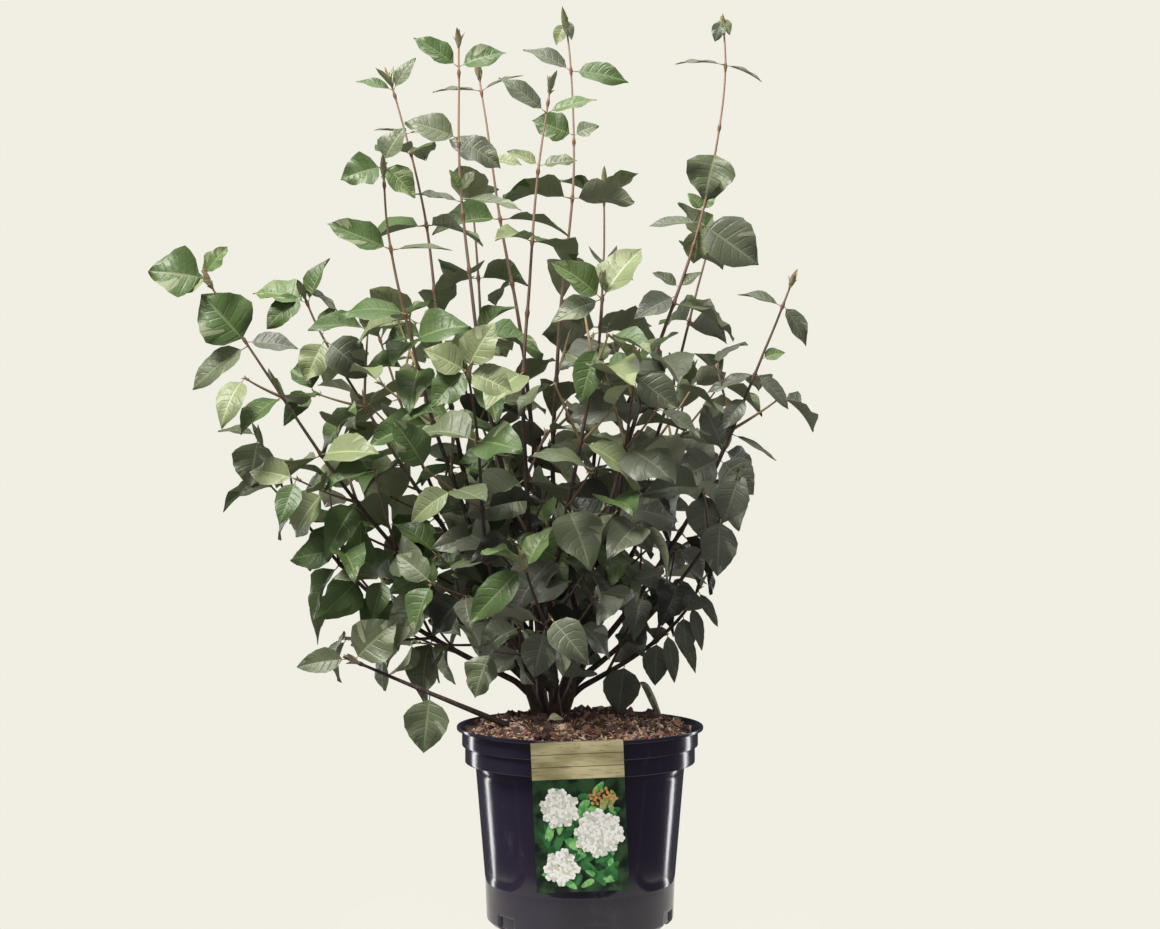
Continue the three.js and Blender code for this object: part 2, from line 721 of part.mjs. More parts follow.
function sproutSolid() {
  const route = [SPROUT.foot, SPROUT.knee, SPROUT.bend, SPROUT.tip].map(vector);
  const shares = [0.62, 1, 0.95, 0.3];
  const points = [];
  const triangles = [];
  for (let i = 0; i < route.length; i++) {
    const before = route[Math.max(i - 1, 0)];
    const after = route[Math.min(i + 1, route.length - 1)];
    const along = i === 0 ? UP.clone() : after.clone().sub(before).normalize();
    const across = new THREE.Vector3(0.75, 0.66, 0);
    across.addScaledVector(along, -across.dot(along)).normalize();
    const out = along.clone().cross(across).multiplyScalar(SPROUT.thick / 2);
    const half = across.multiplyScalar((SPROUT.width / 2) * shares[i]);
    points.push(route[i].clone().add(half).add(out), route[i].clone().sub(half).add(out));
    points.push(route[i].clone().sub(half).sub(out), route[i].clone().add(half).sub(out));
  }
  for (let i = 0; i < route.length - 1; i++) {
    for (let k = 0; k < 4; k++) {
      const a = i * 4 + k;
      const b = i * 4 + ((k + 1) % 4);
      triangles.push([a, b, b + 4], [a, b + 4, a + 4]);
    }
  }
  const last = (route.length - 1) * 4;
  triangles.push([0, 2, 1], [0, 3, 2], [last, last + 1, last + 2], [last, last + 2, last + 3]);
  const solid = solidOf(indexed(points, triangles));
  return solid.volume() > 0 ? solid : solidOf(indexed(points, triangles.map(([a, b, c]) => [a, c, b])));
}

// A stem: it flares at the foot, tapers and ends flat; grown by a margin it is the cutter for its boughs
function stemSolid(stem, margin) {
  const path = stemPath(stem);
  const along = tangentAt(path, path.total / 2);
  const foot = path.points[0];
  const shares = [0, STEM.flareHeight / path.total, 0.45, 1];
  const centres = shares.map((share) => pointAt(path, path.total * share));
  const radii = shares.map((share, i) => stemRadius(share) * (i === 0 ? STEM.flare : 1) + margin);
  const normals = [UP, null, null, along];
  if (margin > 0) {
    centres[0] = foot.clone().addScaledVector(along, -margin);
    centres[3] = centres[3].clone().addScaledVector(along, margin);
  }
  return tube(centres, radii, STEM.sides, normals);
}

function boughSolid(shoot, cutters) {
  const path = shoot.path;
  const distances = [0];
  const hasElbow = shoot.row.stem && shoot.row.at < 1;
  if (hasElbow) {
    distances.push(path.lengths[1]);
  }
  const rest = shoot.row.bare - distances[distances.length - 1];
  const steps = Math.max(Math.round(rest / 32), 1);
  const from = distances[distances.length - 1];
  for (let i = 1; i <= steps; i++) {
    distances.push(from + (rest * i) / steps);
  }
  const centres = distances.map((distance) => pointAt(path, distance));
  const radii = distances.map((distance) => shootRadius(distance / path.total));
  const normals = distances.map(() => null);
  normals[normals.length - 1] = tangentAt(path, shoot.row.bare);
  if (!shoot.row.stem) {
    normals[0] = UP;
  } else if (!hasElbow) {
    centres[0].addScaledVector(tangentAt(path, 0), -1.5);
    radii[0] = Math.min(radii[0], STEM.topRadius - 0.9);
  }
  let solid = tube(centres, radii, SHOOT.boughSides, normals);
  for (const cutter of cutters) {
    solid = solid.subtract(cutter);
  }
  return largestPiece(solid);
}

function leafSolid(leaf, sink) {
  const side = leaf.normal.clone().cross(leaf.along);
  const root = Math.min(LEAF.root, leaf.length / 40 + 0.2);
  const sunk = leaf.root.clone().addScaledVector(leaf.along, sink);
  const ring = [
    sunk.clone().addScaledVector(side, -root).addScaledVector(leaf.normal, root * 0.5),
    sunk.clone().addScaledVector(side, root).addScaledVector(leaf.normal, root * 0.5),
    sunk.clone().addScaledVector(leaf.normal, -root),
  ];
  const lower = LEAF.stalk + (1 - LEAF.stalk) * 0.17;
  const upper = LEAF.stalk + (1 - LEAF.stalk) * 0.57;
  const middle = LEAF.stalk + (1 - LEAF.stalk) * 0.38;
  const half = Math.max(leaf.length / 45, Math.min(LEAF.thick, leaf.length / 16)) / 2;
  const points = [
    ...ring,
    leafPoint(leaf, lower, 1, 0),
    leafPoint(leaf, upper, 1, 0),
    leafPoint(leaf, 1, 0, 0),
    leafPoint(leaf, upper, -1, 0),
    leafPoint(leaf, lower, -1, 0),
    leafPoint(leaf, middle, 0, half),
    leafPoint(leaf, middle, 0, -half),
  ];
  const rim = [1, 3, 4, 5, 6, 7, 0];
  const triangles = [[0, 1, 2]];
  for (let i = 0; i < rim.length; i++) {
    const next = rim[(i + 1) % rim.length];
    triangles.push([8, next, rim[i]]);
    if (i < rim.length - 1) {
      triangles.push([9, rim[i], next]);
    }
  }
  triangles.push([9, 0, 2], [9, 2, 1]);
  const solid = solidOf(indexed(points, triangles));
  return solid.volume() > 0 ? solid : solidOf(indexed(points, triangles.map(([a, b, c]) => [a, c, b])));
}

function twigSolid(twig) {
  const radii = [TWIG.footRadius, (TWIG.footRadius + TWIG.tipRadius) / 2, TWIG.tipRadius];
  return tube(twig.path.points, radii, TWIG.sides, null);
}

function axisSolid(shoot) {
  const path = shoot.path;
  const from = shoot.row.bare + GAP;
  const end = path.total - NODE.bud;
  const steps = Math.max(Math.round((end - from) / SHOOT.ring), 1);
  const centres = [];
  const radii = [];
  const normals = [];
  for (let i = 0; i <= steps; i++) {
    const distance = from + ((end - from) * i) / steps;
    centres.push(pointAt(path, distance));
    radii.push(shootRadius(distance / path.total));
    normals.push(i === 0 ? tangentAt(path, shoot.row.bare) : null);
  }
  // The shoot ends in a pair of buds, drawn as one swelling
  centres.push(pointAt(path, path.total - NODE.bud * 0.6), path.points[path.points.length - 1]);
  radii.push(NODE.budRadius, NODE.budRadius * 0.2);
  normals.push(null, null);
  return tube(centres, radii, SHOOT.spraySides, normals);
}

// Whether two solids join without leaving corners that nearly coincide
function joinsCleanly(first, second) {
  const points = first.add(second).getMesh().vertProperties;
  for (let i = 0; i < points.length; i += 3) {
    for (let k = i + 3; k < points.length; k += 3) {
      const x = Math.abs(points[i] - points[k]);
      const y = Math.abs(points[i + 1] - points[k + 1]);
      const z = Math.abs(points[i + 2] - points[k + 2]);
      if (Math.max(x, y, z) < SLIVER) {
        return false;
      }
    }
  }
  return true;
}

// A spray of foliage: a twig or leaf that comes near another solid, or crosses any piece of its
// own spray but the one it grows on, is left off
function spraySolid(shoot, axis, others) {
  const pieces = [axis];
  const clear = (solid, support) =>
    others.every((other) => other.minGap(solid, GAP + 0.2) > GAP) &&
    pieces.every((piece) => piece === support || piece.intersect(solid).isEmpty());
  const addLeaves = (leaves, support) => {
    for (const leaf of leaves) {
      const tries = LEAF.sunk.map((sink) => leafSolid(leaf, sink));
      const solid = tries.find((entry) => joinsCleanly(support, entry));
      if (solid && clear(solid, support)) {
        pieces.push(solid);
      }
    }
  };
  addLeaves(shoot.leaves, axis);
  for (const twig of shoot.twigs) {
    const solid = twigSolid(twig);
    if (joinsCleanly(axis, solid) && clear(solid, axis)) {
      pieces.push(solid);
      addLeaves(twig.leaves, solid);
    }
  }
  return largestPiece(joinAll(pieces));
}

// Assembly

const COLOURS = {
  pot: 0x2b262e,
  soil: 0x4c3b36,
  card: 0x6d8f4e,
  bark: 0x57443c,
  sprout: 0x464c3c,
  leaf: 0x7f9a63,
};

const group = new THREE.Group();
group.name = "potted_snowball_viburnum";

function addSolid(name, solid, colour, roughness) {
  const mesh = solid.getMesh();
  const geometry = new THREE.BufferGeometry();
  geometry.setAttribute("position", new THREE.BufferAttribute(new Float32Array(mesh.vertProperties), 3));
  geometry.setIndex(new THREE.BufferAttribute(new Uint32Array(mesh.triVerts), 1));
  geometry.computeVertexNormals();
  const material = new THREE.MeshStandardMaterial({ color: colour, roughness });
  material.name = name;
  const part = new THREE.Mesh(geometry, material);
  part.name = name;
  group.add(part);
}

addSolid("pot", potSolid(), COLOURS.pot, 0.25);
addSolid("soil", soilSolid(), COLOURS.soil, 0.95);
addSolid("label", labelSolid(), COLOURS.card, 0.4);
addSolid("sprout", sproutSolid(), COLOURS.sprout, 0.6);

const shoots = planShrub();
const solids = [];
for (const stem of STEMS) {
  const solid = stemSolid(stem, 0);
  solids.push(solid);
  addSolid("stem_" + stem.name, solid, COLOURS.bark, 0.8);
}
const cutters = STEMS.map((stem) => stemSolid(stem, GAP));
for (const shoot of shoots) {
  const solid = boughSolid(shoot, cutters);
  solids.push(solid);
  addSolid("bough_" + shoot.row.name, solid, COLOURS.bark, 0.8);
}
const axes = shoots.map(axisSolid);
shoots.forEach((shoot, i) => {
  const solid = spraySolid(shoot, axes[i], solids.concat(axes.slice(i + 1)));
  solids.push(solid);
  addSolid("spray_" + shoot.row.name, solid, COLOURS.leaf, 0.7);
});

export default group;
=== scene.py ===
"""A potted fragrant snowball viburnum: a many-stemmed flowering shrub in leaf, in a round nursery pot.

Lengths in the plan and in the piece functions are millimetres, +Z is up and the viewer looks along +Y.
The origin is the middle of the pot's underside. Meshes are written in metres.
The limbs and leaves grow by the same seeded rule as the solids, and finer twigs follow it further.
"""

from math import ceil, cos, hypot, pi, sin, sqrt
from types import SimpleNamespace as Named

import bpy
import numpy as np
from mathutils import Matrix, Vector


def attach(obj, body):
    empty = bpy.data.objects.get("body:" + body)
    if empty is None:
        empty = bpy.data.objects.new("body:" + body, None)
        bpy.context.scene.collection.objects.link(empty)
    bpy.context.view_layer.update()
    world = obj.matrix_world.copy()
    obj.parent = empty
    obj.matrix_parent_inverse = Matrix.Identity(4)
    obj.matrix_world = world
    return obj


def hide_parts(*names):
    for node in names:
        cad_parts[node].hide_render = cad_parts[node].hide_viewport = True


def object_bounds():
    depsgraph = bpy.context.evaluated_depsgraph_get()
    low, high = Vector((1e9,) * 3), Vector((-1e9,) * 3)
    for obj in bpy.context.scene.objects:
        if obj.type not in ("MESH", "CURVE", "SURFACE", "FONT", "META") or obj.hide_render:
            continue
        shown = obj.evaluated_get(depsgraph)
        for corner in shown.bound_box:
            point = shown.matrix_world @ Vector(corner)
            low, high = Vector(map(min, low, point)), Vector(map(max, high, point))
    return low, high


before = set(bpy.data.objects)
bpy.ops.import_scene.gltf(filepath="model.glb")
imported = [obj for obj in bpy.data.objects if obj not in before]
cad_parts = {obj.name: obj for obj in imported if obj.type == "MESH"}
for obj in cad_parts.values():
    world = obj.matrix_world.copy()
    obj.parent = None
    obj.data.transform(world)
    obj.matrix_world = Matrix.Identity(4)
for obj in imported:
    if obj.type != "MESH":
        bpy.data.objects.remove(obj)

bl_info = {
    "name": "Potted viburnum",
    "version": (1, 0, 0),
    "blender": (4, 5, 0),
    "location": "View3D > Sidebar > Viburnum",
    "description": "Builds a potted snowball viburnum from a seeded plan of limbs and leaves",
    "category": "Add Mesh",
}

MM = 0.001
SOLIDS_BOX = np.array(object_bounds()) / MM
DEGREE = pi / 180
UP = np.array([0.0, 0.0, 1.0])
RIGHT = np.array([1.0, 0.0, 0.0])

# Pot, soil, label and sprout, as in the solids; the pot's rings by radius, foot and top
POT = Named(
    lip=140.0, lip_foot=218.0, height=222.0, flare=137.0, flare_foot=212.0, collar=134.0, collar_foot=200.0,
    step=130.5, step_foot=181.0, body_top=119.0, band=107.5, band_top=46.0, foot=106.0, wall=3.0, floor=4.0,
    bevel=5, facets=30)
# The panels are a little wider than the solids' own
PANELS = Named(count=6, width=96.0, top=174.0, bottom=50.0, round=26.0, depth=1.4, inner=5.0, outer=1.6)
DRAINS = Named(
    count=6, width=26.0, height=16.0, depth=11.0, turn=9.0, inner=1.5, outer=0.5, fall=2, reach=10)
SOIL = Named(
    top=227.0, flat=100.0, shoulder_radius=114.0, shoulder=221.5, edge=214.0, rings=84, segments=240,
    edge_radius=130.8)
GAP = 0.3
LABEL = Named(
    width=99.0, height=163.0, top=222.6, thick=0.8, x=-3.5, tilt=2.4, lean=3.5, clear=0.65,
    strip_share=0.25, strip_rise=0.12, head_turn=2.4, layer=0.02)
TONGUE = Named(width=7.0, over=0.35, reach=9.5, drop=5.0, foot=8.0)
SPROUT = Named(
    foot=(93, 60, 224.1), knee=(84, 60, 246), bend=(75, 60, 264), tip=(60, 58, 261), width=12.0, thick=1.4,
    sides=12, lines=34)

# Main stems: where each stands on the soil and where it forks
STEM = Named(
    foot_radius=6.5, top_radius=4.8, flare=1.35, flare_height=12.0, sides=28, step=1.1, sunk=5, sway=1.1,
    fade=20)
STEMS = {
    "left": ((-47, 32), (-82, 22, 315)),
    "front": ((-28, 26), (-38, -20, 332)),
    "right": ((-22, 46), (18, 28, 322)),
    "middle": ((-42, 52), (-50, 46, 350)),
    "right_back": ((-26, 66), (2, 98, 325)),
    "left_back": ((-45, 72), (-74, 102, 320)),
}

# Shoots: name, stem, share of the stem, tip, lower and upper bend off the straight line, bare
# length, distance of the first pair of leaves below the tip, and that pair's turn in degrees
SHOOTS = (
    ("tall_back", "right_back", 1, (-19, 95, 1050), (-80, 10), (40, 0), 60, 66, 0),
    ("tall_right", "right", 1, (163, 20, 1033), (-55, -10), (78, 0), 60, 58, 0),
    ("tall_left", "front", 1, (-134, -60, 1000), (-40, 12), (-40, 0), 55, 48, 10),
    ("tall_left_back", "middle", 1, (-120, 70, 990), (40, 10), (0, 0), 55, 36, 20),
    ("tall_outer_left", "middle", 0.7, (-221, -10, 968), (-70, 0), (30, 0), 80, 34, -20),
    ("tall_front", "front", 0.66, (-31, -90, 943), (-38, -55), (-27, -20), 70, 30, 40),
    ("left_outer", "left", 1, (-215, -90, 850), (-10, -20), (-42, -20), 50, 26, 20),
    ("right_inner", "right_back", 0.84, (157, 100, 796), (10, 10), (12, 0), 70, 30, -20),
    ("right_arm", "right", 0.72, (244, -10, 735), (48, 0), (18, 0), 70, 40, 0),
    ("far_left", "left", 0.5, (-419, -60, 733), (-48, -10), (-24, -10), 75, 18, 60),
    ("left_arm", "left", 0.7, (-325, 40, 729), (30, 20), (-30, 10), 70, 26, 0),
    ("low_left_arm", "left", 0.28, (-373, 20, 557), (-110, 0), (-55, 0), 70, 24, 30),
    ("front_middle", "front", 0.4, (23, -150, 724), (-30, -70), (25, -30), 62, 30, 20),
    ("front_right", "right", 0.56, (60, -125, 644), (14, -40), (10, -30), 62, 26, 35),
    ("front_rosette", "front", 0.27, (-119, -200, 624), (-60, -30), (0, -20), 58, 16, 45),
    ("back_middle", "right_back", 0.66, (30, 190, 880), (10, 50), (10, 20), 66, 38, 15),
    ("short_left", "left_back", 1, (-130, 130, 854), (-10, 30), (-10, 10), 50, 30, 65),
    ("back_left", "left_back", 0.7, (-255, 190, 700), (-30, 30), (-20, 20), 66, 30, 55),
    ("back_right", "right_back", 0.48, (140, 215, 640), (30, 50), (20, 30), 66, 30, 40),
    ("low_right_front", "right", 0.36, (175, -110, 514), (40, -10), (30, -10), 58, 20, 50),
    ("low_front", "front", 0.12, (-60, -195, 424), (20, -50), (0, -40), 48, 18, 30),
    ("low_right", "right", 0.18, (140, 5, 395), (40, 10), (40, 0), 50, 18, 60),
    ("back_low", "left_back", 0.42, (-70, 270, 470), (0, 60), (0, 30), 58, 24, 15),
    ("ground_left", None, (-80, -50), (-262, -60, 305), (0, 0), (0, 0), 60, 20, 20),
)
SHOOT = Named(
    foot_radius=3.9, tip_radius=1.6, taper=0.85, elbow_out=17.0, elbow_up=16.0, sides=8, sway=1.0, step=3.4,
    slimmer_over=1600, slimmest=0.62, swelling=1.15, swelling_reach=3.4, fade=60, band=4.0, band_shift=3.0,
    bud=(25, 33))
NODE = Named(step=78.0, step_low=54.0, step_spread=10.0, quarter=90.0, young=70.0, end=14.0)
TWIG = Named(
    top=540.0, chance=0.36, left_chance=0.0, length=44.0, spread=60.0, angle=42.0, angle_spread=14.0,
    turn_spread=24.0, lift=0.1, rise=5.0, radius=1.9, second=78.0, clear=7.0, clear_leaf=4.0,
    leaf_clear=5.5, leaf_angle=4.0, search=20.0, ignore=20.0, sides=6, rings=14, tip_radius=0.95,
    bud=(8, 15), tip_play=4)
# Finer twigs carry the rule further inside the same reach
FINE = Named(
    top=640.0, chance=0.5, left_chance=0.4, clear=4.0, clear_leaf=2.5, leaf_clear=3.4, seed=101,
    foot_step=34.0, foot_bare=34.0)
# Finer twigs are likelier to the left, up to this distance from the middle
LEFT_REACH = 250
LEAF = Named(
    young=60.0, full=76.0, grow=6.0, spread=24.0, skew=0.3, narrow=0.58, wide=0.72, stalk=0.11,
    young_angle=48.0, full_angle=60.0, low_angle=14.0, angle_spread=22.0, turn_spread=36.0, roll=80.0,
    up=0.8, outward=0.35, lean=0.6, lean_top=850.0, lean_depth=250.0, lean_plane=70.0, lean_least=0.1,
    sag=0.12, sag_low=0.75, droop=0.1, droop_spread=0.2, shorten=0.25, fold=0.2, tries=6, widen=0.35,
    shrink=0.04, clear=5.5, clear_limb=4.0, near_root=13.0, search=0.6, search_limb=14.0, search_leaf=10.0,
    stalk_sides=4, stalk_shares=(0.0, 0.5, 1.15), stalk_radii=(1.25, 0.85, 0.55))
# A leaf's outline: the factor that makes its widest point one, and its powers towards root and tip
SOLID_OUTLINE = (2.313, 0.45, 0.85)
OUTLINE = (3.53, 0.76, 1.08)
# Tones run from fresh to dark; the young leaves at the tips have one of their own. Where tones deepen low
# down, to the right and inside the crown, they are partly painted shade
FRESH, PALE, BRIGHT, MID, DEEP, DUSKY, SHADE, BUD = range(8)
# Leaves that stand out in the view, by shoot: distance below its tip, direction in the picture in degrees
# from the right, lean towards the viewer, length, width by length, how far the face turns to the viewer
# and tone; their darker tones are partly painted shade
NOTABLE = {
    "far_left": (
        (10, 172, 0.2, 66, 0.92, 0.9, BRIGHT), (6, 55, 0.1, 42, 0.6, 0.7, FRESH),
        (10, 208, 0.3, 36, 0.6, 0.6, PALE), (95, 131, 0.25, 76, 0.9, 1.0, BRIGHT),
        (97, 213, 0.2, 80, 0.5, 0.6, MID), (92, -2, 0.1, 60, 0.5, 0.6, DUSKY),
    ),
    "left_arm": (
        (14, 220, 0.3, 60, 0.6, 0.8, BRIGHT), (6, -24, 0.1, 54, 0.36, 0.3, DEEP),
        (66, 72, 0.1, 38, 0.58, 0.9, FRESH), (72, 246, 0.3, 56, 0.72, 0.8, PALE),
        (74, -36, 0.3, 66, 0.78, 0.9, DEEP),
    ),
    "low_left_arm": (
        (8, 262, 0.2, 60, 0.84, 1.0, MID), (6, 164, 0.1, 46, 0.42, 0.4, MID),
        (60, 200, 0.2, 50, 0.4, 0.6, DEEP),
    ),
    "tall_right": (
        (154, 254, 0.2, 62, 0.95, 1.0, MID), (226, 126, 0.1, 27, 0.6, 0.8, FRESH),
        (226, 62, 0.1, 28, 0.6, 0.8, FRESH), (240, -36, 0.2, 86, 0.74, 0.95, DEEP),
        (4, 250, 0.2, 28, 0.6, 0.7, DEEP), (2, 300, 0.2, 22, 0.6, 0.7, PALE),
        (56, 170, 0.1, 58, 0.26, 0.3, DEEP), (56, -16, 0.1, 48, 0.24, 0.3, DEEP),
        (240, 178, 0.0, 60, 0.36, 0.5, DEEP), (244, 266, -0.2, 46, 0.7, 0.8, PALE),
        (318, 148, 0.1, 36, 0.5, 0.6, DEEP), (318, 38, 0.1, 32, 0.5, 0.6, MID),
        (328, 205, 0.3, 58, 0.6, 0.7, DUSKY),
    ),
    "right_arm": (
        (40, 158, 0.1, 54, 0.4, 0.4, DEEP), (38, -56, 0.1, 56, 0.44, 0.6, DEEP),
        (104, 22, 0.1, 28, 0.6, 0.8, FRESH), (228, 206, 0.3, 56, 0.88, 1.0, DUSKY),
        (228, -46, 0.3, 58, 0.76, 1.0, DUSKY), (268, 272, 0.3, 64, 0.72, 1.0, DUSKY),
        (216, 114, 0.2, 58, 0.66, 0.9, DUSKY), (122, -42, 0.2, 56, 0.4, 0.6, DUSKY),
        (122, 196, 0.2, 64, 0.3, 0.5, DUSKY), (196, -24, 0.1, 62, 0.2, 0.4, DEEP),
        (150, 230, 0.3, 48, 0.5, 0.8, DUSKY),
    ),
    "front_rosette": (
        (8, 62, 0.2, 58, 0.72, 0.8, PALE), (10, 152, 0.3, 52, 0.72, 0.8, PALE),
        (8, 226, 0.4, 56, 0.7, 0.8, BRIGHT), (10, -22, 0.3, 54, 0.7, 0.8, PALE),
    ),
    "low_front": (
        (12, 226, 0.1, 86, 0.44, 0.8, BRIGHT), (105, 256, 0.2, 56, 0.74, 1.0, DUSKY),
    ),
    "low_right_front": (
        (8, 252, 0.1, 56, 0.7, 0.9, DUSKY), (62, 264, 0.1, 68, 0.62, 0.95, DUSKY),
    ),
    "ground_left": (
        (104, 264, 0.2, 68, 0.76, 1.0, MID), (6, 184, 0.1, 60, 0.5, 0.9, MID),
        (12, 46, 0.1, 66, 0.84, 1.0, MID),
    ),
    "low_right": (
        (146, 262, 0.3, 62, 0.72, 1.0, DUSKY), (100, 268, 0.2, 54, 0.6, 0.9, DUSKY),
        (56, 276, 0.2, 52, 0.5, 0.8, DUSKY), (40, 286, 0.1, 58, 0.28, 0.6, DUSKY),
        (66, 292, 0.2, 66, 0.26, 0.5, DEEP), (84, 280, 0.3, 62, 0.3, 0.7, DUSKY),
        (22, 300, 0.1, 50, 0.28, 0.6, DUSKY),
    ),
    "front_middle": (
        (30, 200, 0.3, 62, 0.5, 0.7, MID), (78, 250, 0.3, 70, 0.5, 0.8, BRIGHT),
    ),
    "tall_left": (
        (41, 144, 0.2, 60, 0.48, 0.8, BRIGHT), (41, 22, 0.2, 56, 0.54, 0.8, BRIGHT),
        (178, 58, 0.3, 30, 0.5, 0.6, MID), (178, 116, 0.3, 28, 0.42, 0.6, FRESH),
        (186, -4, 0.3, 72, 0.34, 0.4, MID), (190, 166, 0.3, 58, 0.34, 0.4, DEEP),
        (120, 158, 0.2, 64, 0.6, 0.8, MID), (122, -28, 0.2, 57, 0.6, 0.8, DEEP),
    ),
    "tall_outer_left": (
        (27, 161, 0.1, 45, 0.36, 0.6, BRIGHT), (27, 60, 0.1, 46, 0.42, 0.7, MID),
        (78, 165, 0.1, 38, 0.3, 0.2, DEEP), (78, 12, 0.1, 32, 0.3, 0.2, DEEP),
    ),
    "left_outer": (
        (6, 198, 0.4, 50, 0.84, 0.9, BRIGHT), (4, 318, 0.1, 52, 0.6, 0.8, FRESH),
        (2, 64, 0.1, 46, 0.7, 0.6, MID), (97, 157, 0.2, 78, 0.46, 0.8, BRIGHT),
        (97, 6, 0.2, 70, 0.26, 0.3, MID),
    ),
    "tall_left_back": (
        (34, 174, 0.1, 58, 0.26, 0.3, DEEP), (34, 30, 0.0, 54, 0.24, 0.3, DEEP),
        (116, 150, 0.1, 56, 0.66, 0.8, DUSKY), (116, -6, 0.2, 38, 0.5, 0.6, PALE),
    ),
    "tall_front": (
        (41, 140, 0.2, 66, 0.4, 0.7, DEEP), (41, 20, 0.2, 58, 0.36, 0.6, FRESH),
        (99, 152, 0.2, 40, 0.5, 0.6, PALE), (99, 12, 0.2, 42, 0.5, 0.6, MID),
    ),
    "tall_back": (
        (8, 246, 0.2, 30, 0.6, 0.8, PALE), (4, 292, 0.3, 28, 0.5, 0.6, DEEP),
        (66, 148, 0.1, 64, 0.42, 0.6, DEEP), (66, -6, 0.2, 70, 0.46, 0.8, BRIGHT),
        (142, 160, 0.2, 54, 0.74, 0.9, BRIGHT), (142, 26, 0.2, 32, 0.7, 0.8, MID),
    ),
    "front_right": ((30, -38, 0.2, 62, 0.66, 0.9, DEEP),),
}
# The length below a shoot's tip where the picture shows every leaf, so that only those above stand there
SHOWN = {
    "tall_left": 128, "tall_outer_left": 84, "left_outer": 104, "tall_left_back": 122, "tall_front": 106,
    "tall_back": 150, "tall_right": 262, "ground_left": 136, "right_arm": 60, "far_left": 60,
}
ARMS = ("left_arm", "right_arm", "far_left")
PLAN_SEED = 11
CURVE_STEPS = 48
MARK_STEP = 8.0
MOST_MARKS = 90000
TANGENT_REACH = 4
POT_CLEAR = 8
SOIL_CLEAR = 5
LOWEST_POINT = 120


def make_random(seed):
    """A repeatable random sequence between 0 and 1, the same as the solids' own."""
    state = (seed * 2654435761) & 0xFFFFFFFF

    def draw():
        nonlocal state
        state = (state + 0x6D2B79F5) & 0xFFFFFFFF
        mixed = ((state ^ (state >> 15)) * (state | 1)) & 0xFFFFFFFF
        mixed = ((mixed + (((mixed ^ (mixed >> 7)) * (mixed | 61)) & 0xFFFFFFFF)) & 0xFFFFFFFF) ^ mixed
        return ((mixed ^ (mixed >> 14)) & 0xFFFFFFFF) / 4294967296

    return draw


def clamped(value, low=0, high=1):
    """A number kept between two others."""
    return min(max(value, low), high)


def unit(vector):
    """The vector at a length of one."""
    return vector / np.linalg.norm(vector)


def make_path(points):
    """A line through the points, with the distance along it at each."""
    points = np.array(points, float)
    steps = np.linalg.norm(np.diff(points, axis=0), axis=1)
    lengths = np.concatenate([[0.0], np.cumsum(steps)])
    return Named(points=points, lengths=lengths, total=float(lengths[-1]))


def points_at(path, distances):
    """The points of a path at the given distances."""
    return np.stack([np.interp(distances, path.lengths, path.points[:, k]) for k in range(3)], -1)


def point_at(path, distance):
    """One point of a path."""
    return points_at(path, np.array([distance]))[0]


def tangent_at(path, distance):
    """The direction of a path, taken over a few millimetres each way."""
    ahead = point_at(path, min(distance + TANGENT_REACH, path.total))
    behind = point_at(path, max(distance - TANGENT_REACH, 0))
    return unit(ahead - behind)


def units(vectors):
    """Every row of vectors at a length of one."""
    return vectors / np.linalg.norm(vectors, axis=1)[:, None]


def ring_angles(count):
    """Angles evenly round a ring."""
    return 2 * pi * np.arange(count) / count


def squared(face, along):
    """The direction nearest to a face's that lies square to another."""
    return unit(face - along * along.dot(face))


def rolled(normal, along, angle):
    """A face turned about its leaf's direction."""
    return normal * cos(angle) + np.cross(along, normal) * sin(angle)


def arc(start, bend, end, t):
    """A curve: start (1 - t)^2 plus bend 2 t (1 - t) plus end t^2."""
    return start * (1 - t) ** 2 + bend * 2 * t * (1 - t) + end * t ** 2


def cross_axes(along):
    """Two directions across a given one: the first lies as near +X as it can."""
    first = squared(RIGHT, along)
    return first, unit(np.cross(along, first))


def slanting(axis, turn, angle):
    """A direction at an angle from an axis, turned round it by so many degrees."""
    first, second = cross_axes(axis)
    along = axis * cos(angle)
    along = along + first * cos(turn * DEGREE) * sin(angle)
    return along + second * sin(turn * DEGREE) * sin(angle)


def strung(path, start):
    """Distances from start to the end of a path, at most a mark's step apart."""
    count = max(ceil((path.total - start) / MARK_STEP), 1)
    return start + (path.total - start) * np.arange(count + 1) / count


def stem_path(name):
    """The straight axis of a main stem."""
    foot, top = STEMS[name]
    return make_path([(foot[0], foot[1], SOIL.top + GAP), top])


def shoot_path(row):
    """A shoot's axis: a cubic curve from the stem, or from the soil, to the tip."""
    stem, at, tip, low, high = row[1:6]
    tip = np.array(tip, float)
    low = np.array([low[0], low[1], 0.0])
    high = np.array([high[0], high[1], 0.0])
    lead = []
    if stem:
        path = stem_path(stem)
        start = point_at(path, path.total * at)
        if at < 1:
            lead.append(start)
            outward = (tip - start) / 3 + low
            outward[2] = 0
            start = start + unit(outward) * SHOOT.elbow_out + UP * SHOOT.elbow_up
    else:
        start = np.array([at[0], at[1], SOIL.top + GAP])
    chord = tip - start
    lower = start + chord / 3 + low
    upper = start + chord * 2 / 3 + high
    t = np.linspace(0, 1, CURVE_STEPS + 1)[:, None]
    u = 1 - t
    curve = start * u ** 3 + lower * 3 * u * u * t + upper * 3 * u * t * t + tip * t ** 3
    return make_path(lead + list(curve))


def stem_radius(share):
    """Radius of a stem at a share of its length."""
    return STEM.foot_radius + (STEM.top_radius - STEM.foot_radius) * share


def shoot_radius(share):
    """Radius of a shoot at a share of its length."""
    return SHOOT.foot_radius + (SHOOT.tip_radius - SHOOT.foot_radius) * share ** SHOOT.taper


def moved(start, *steps):
    """Points moved off their start by distances along directions."""
    for direction, distance in steps:
        start = start + direction * distance[..., None]
    return start


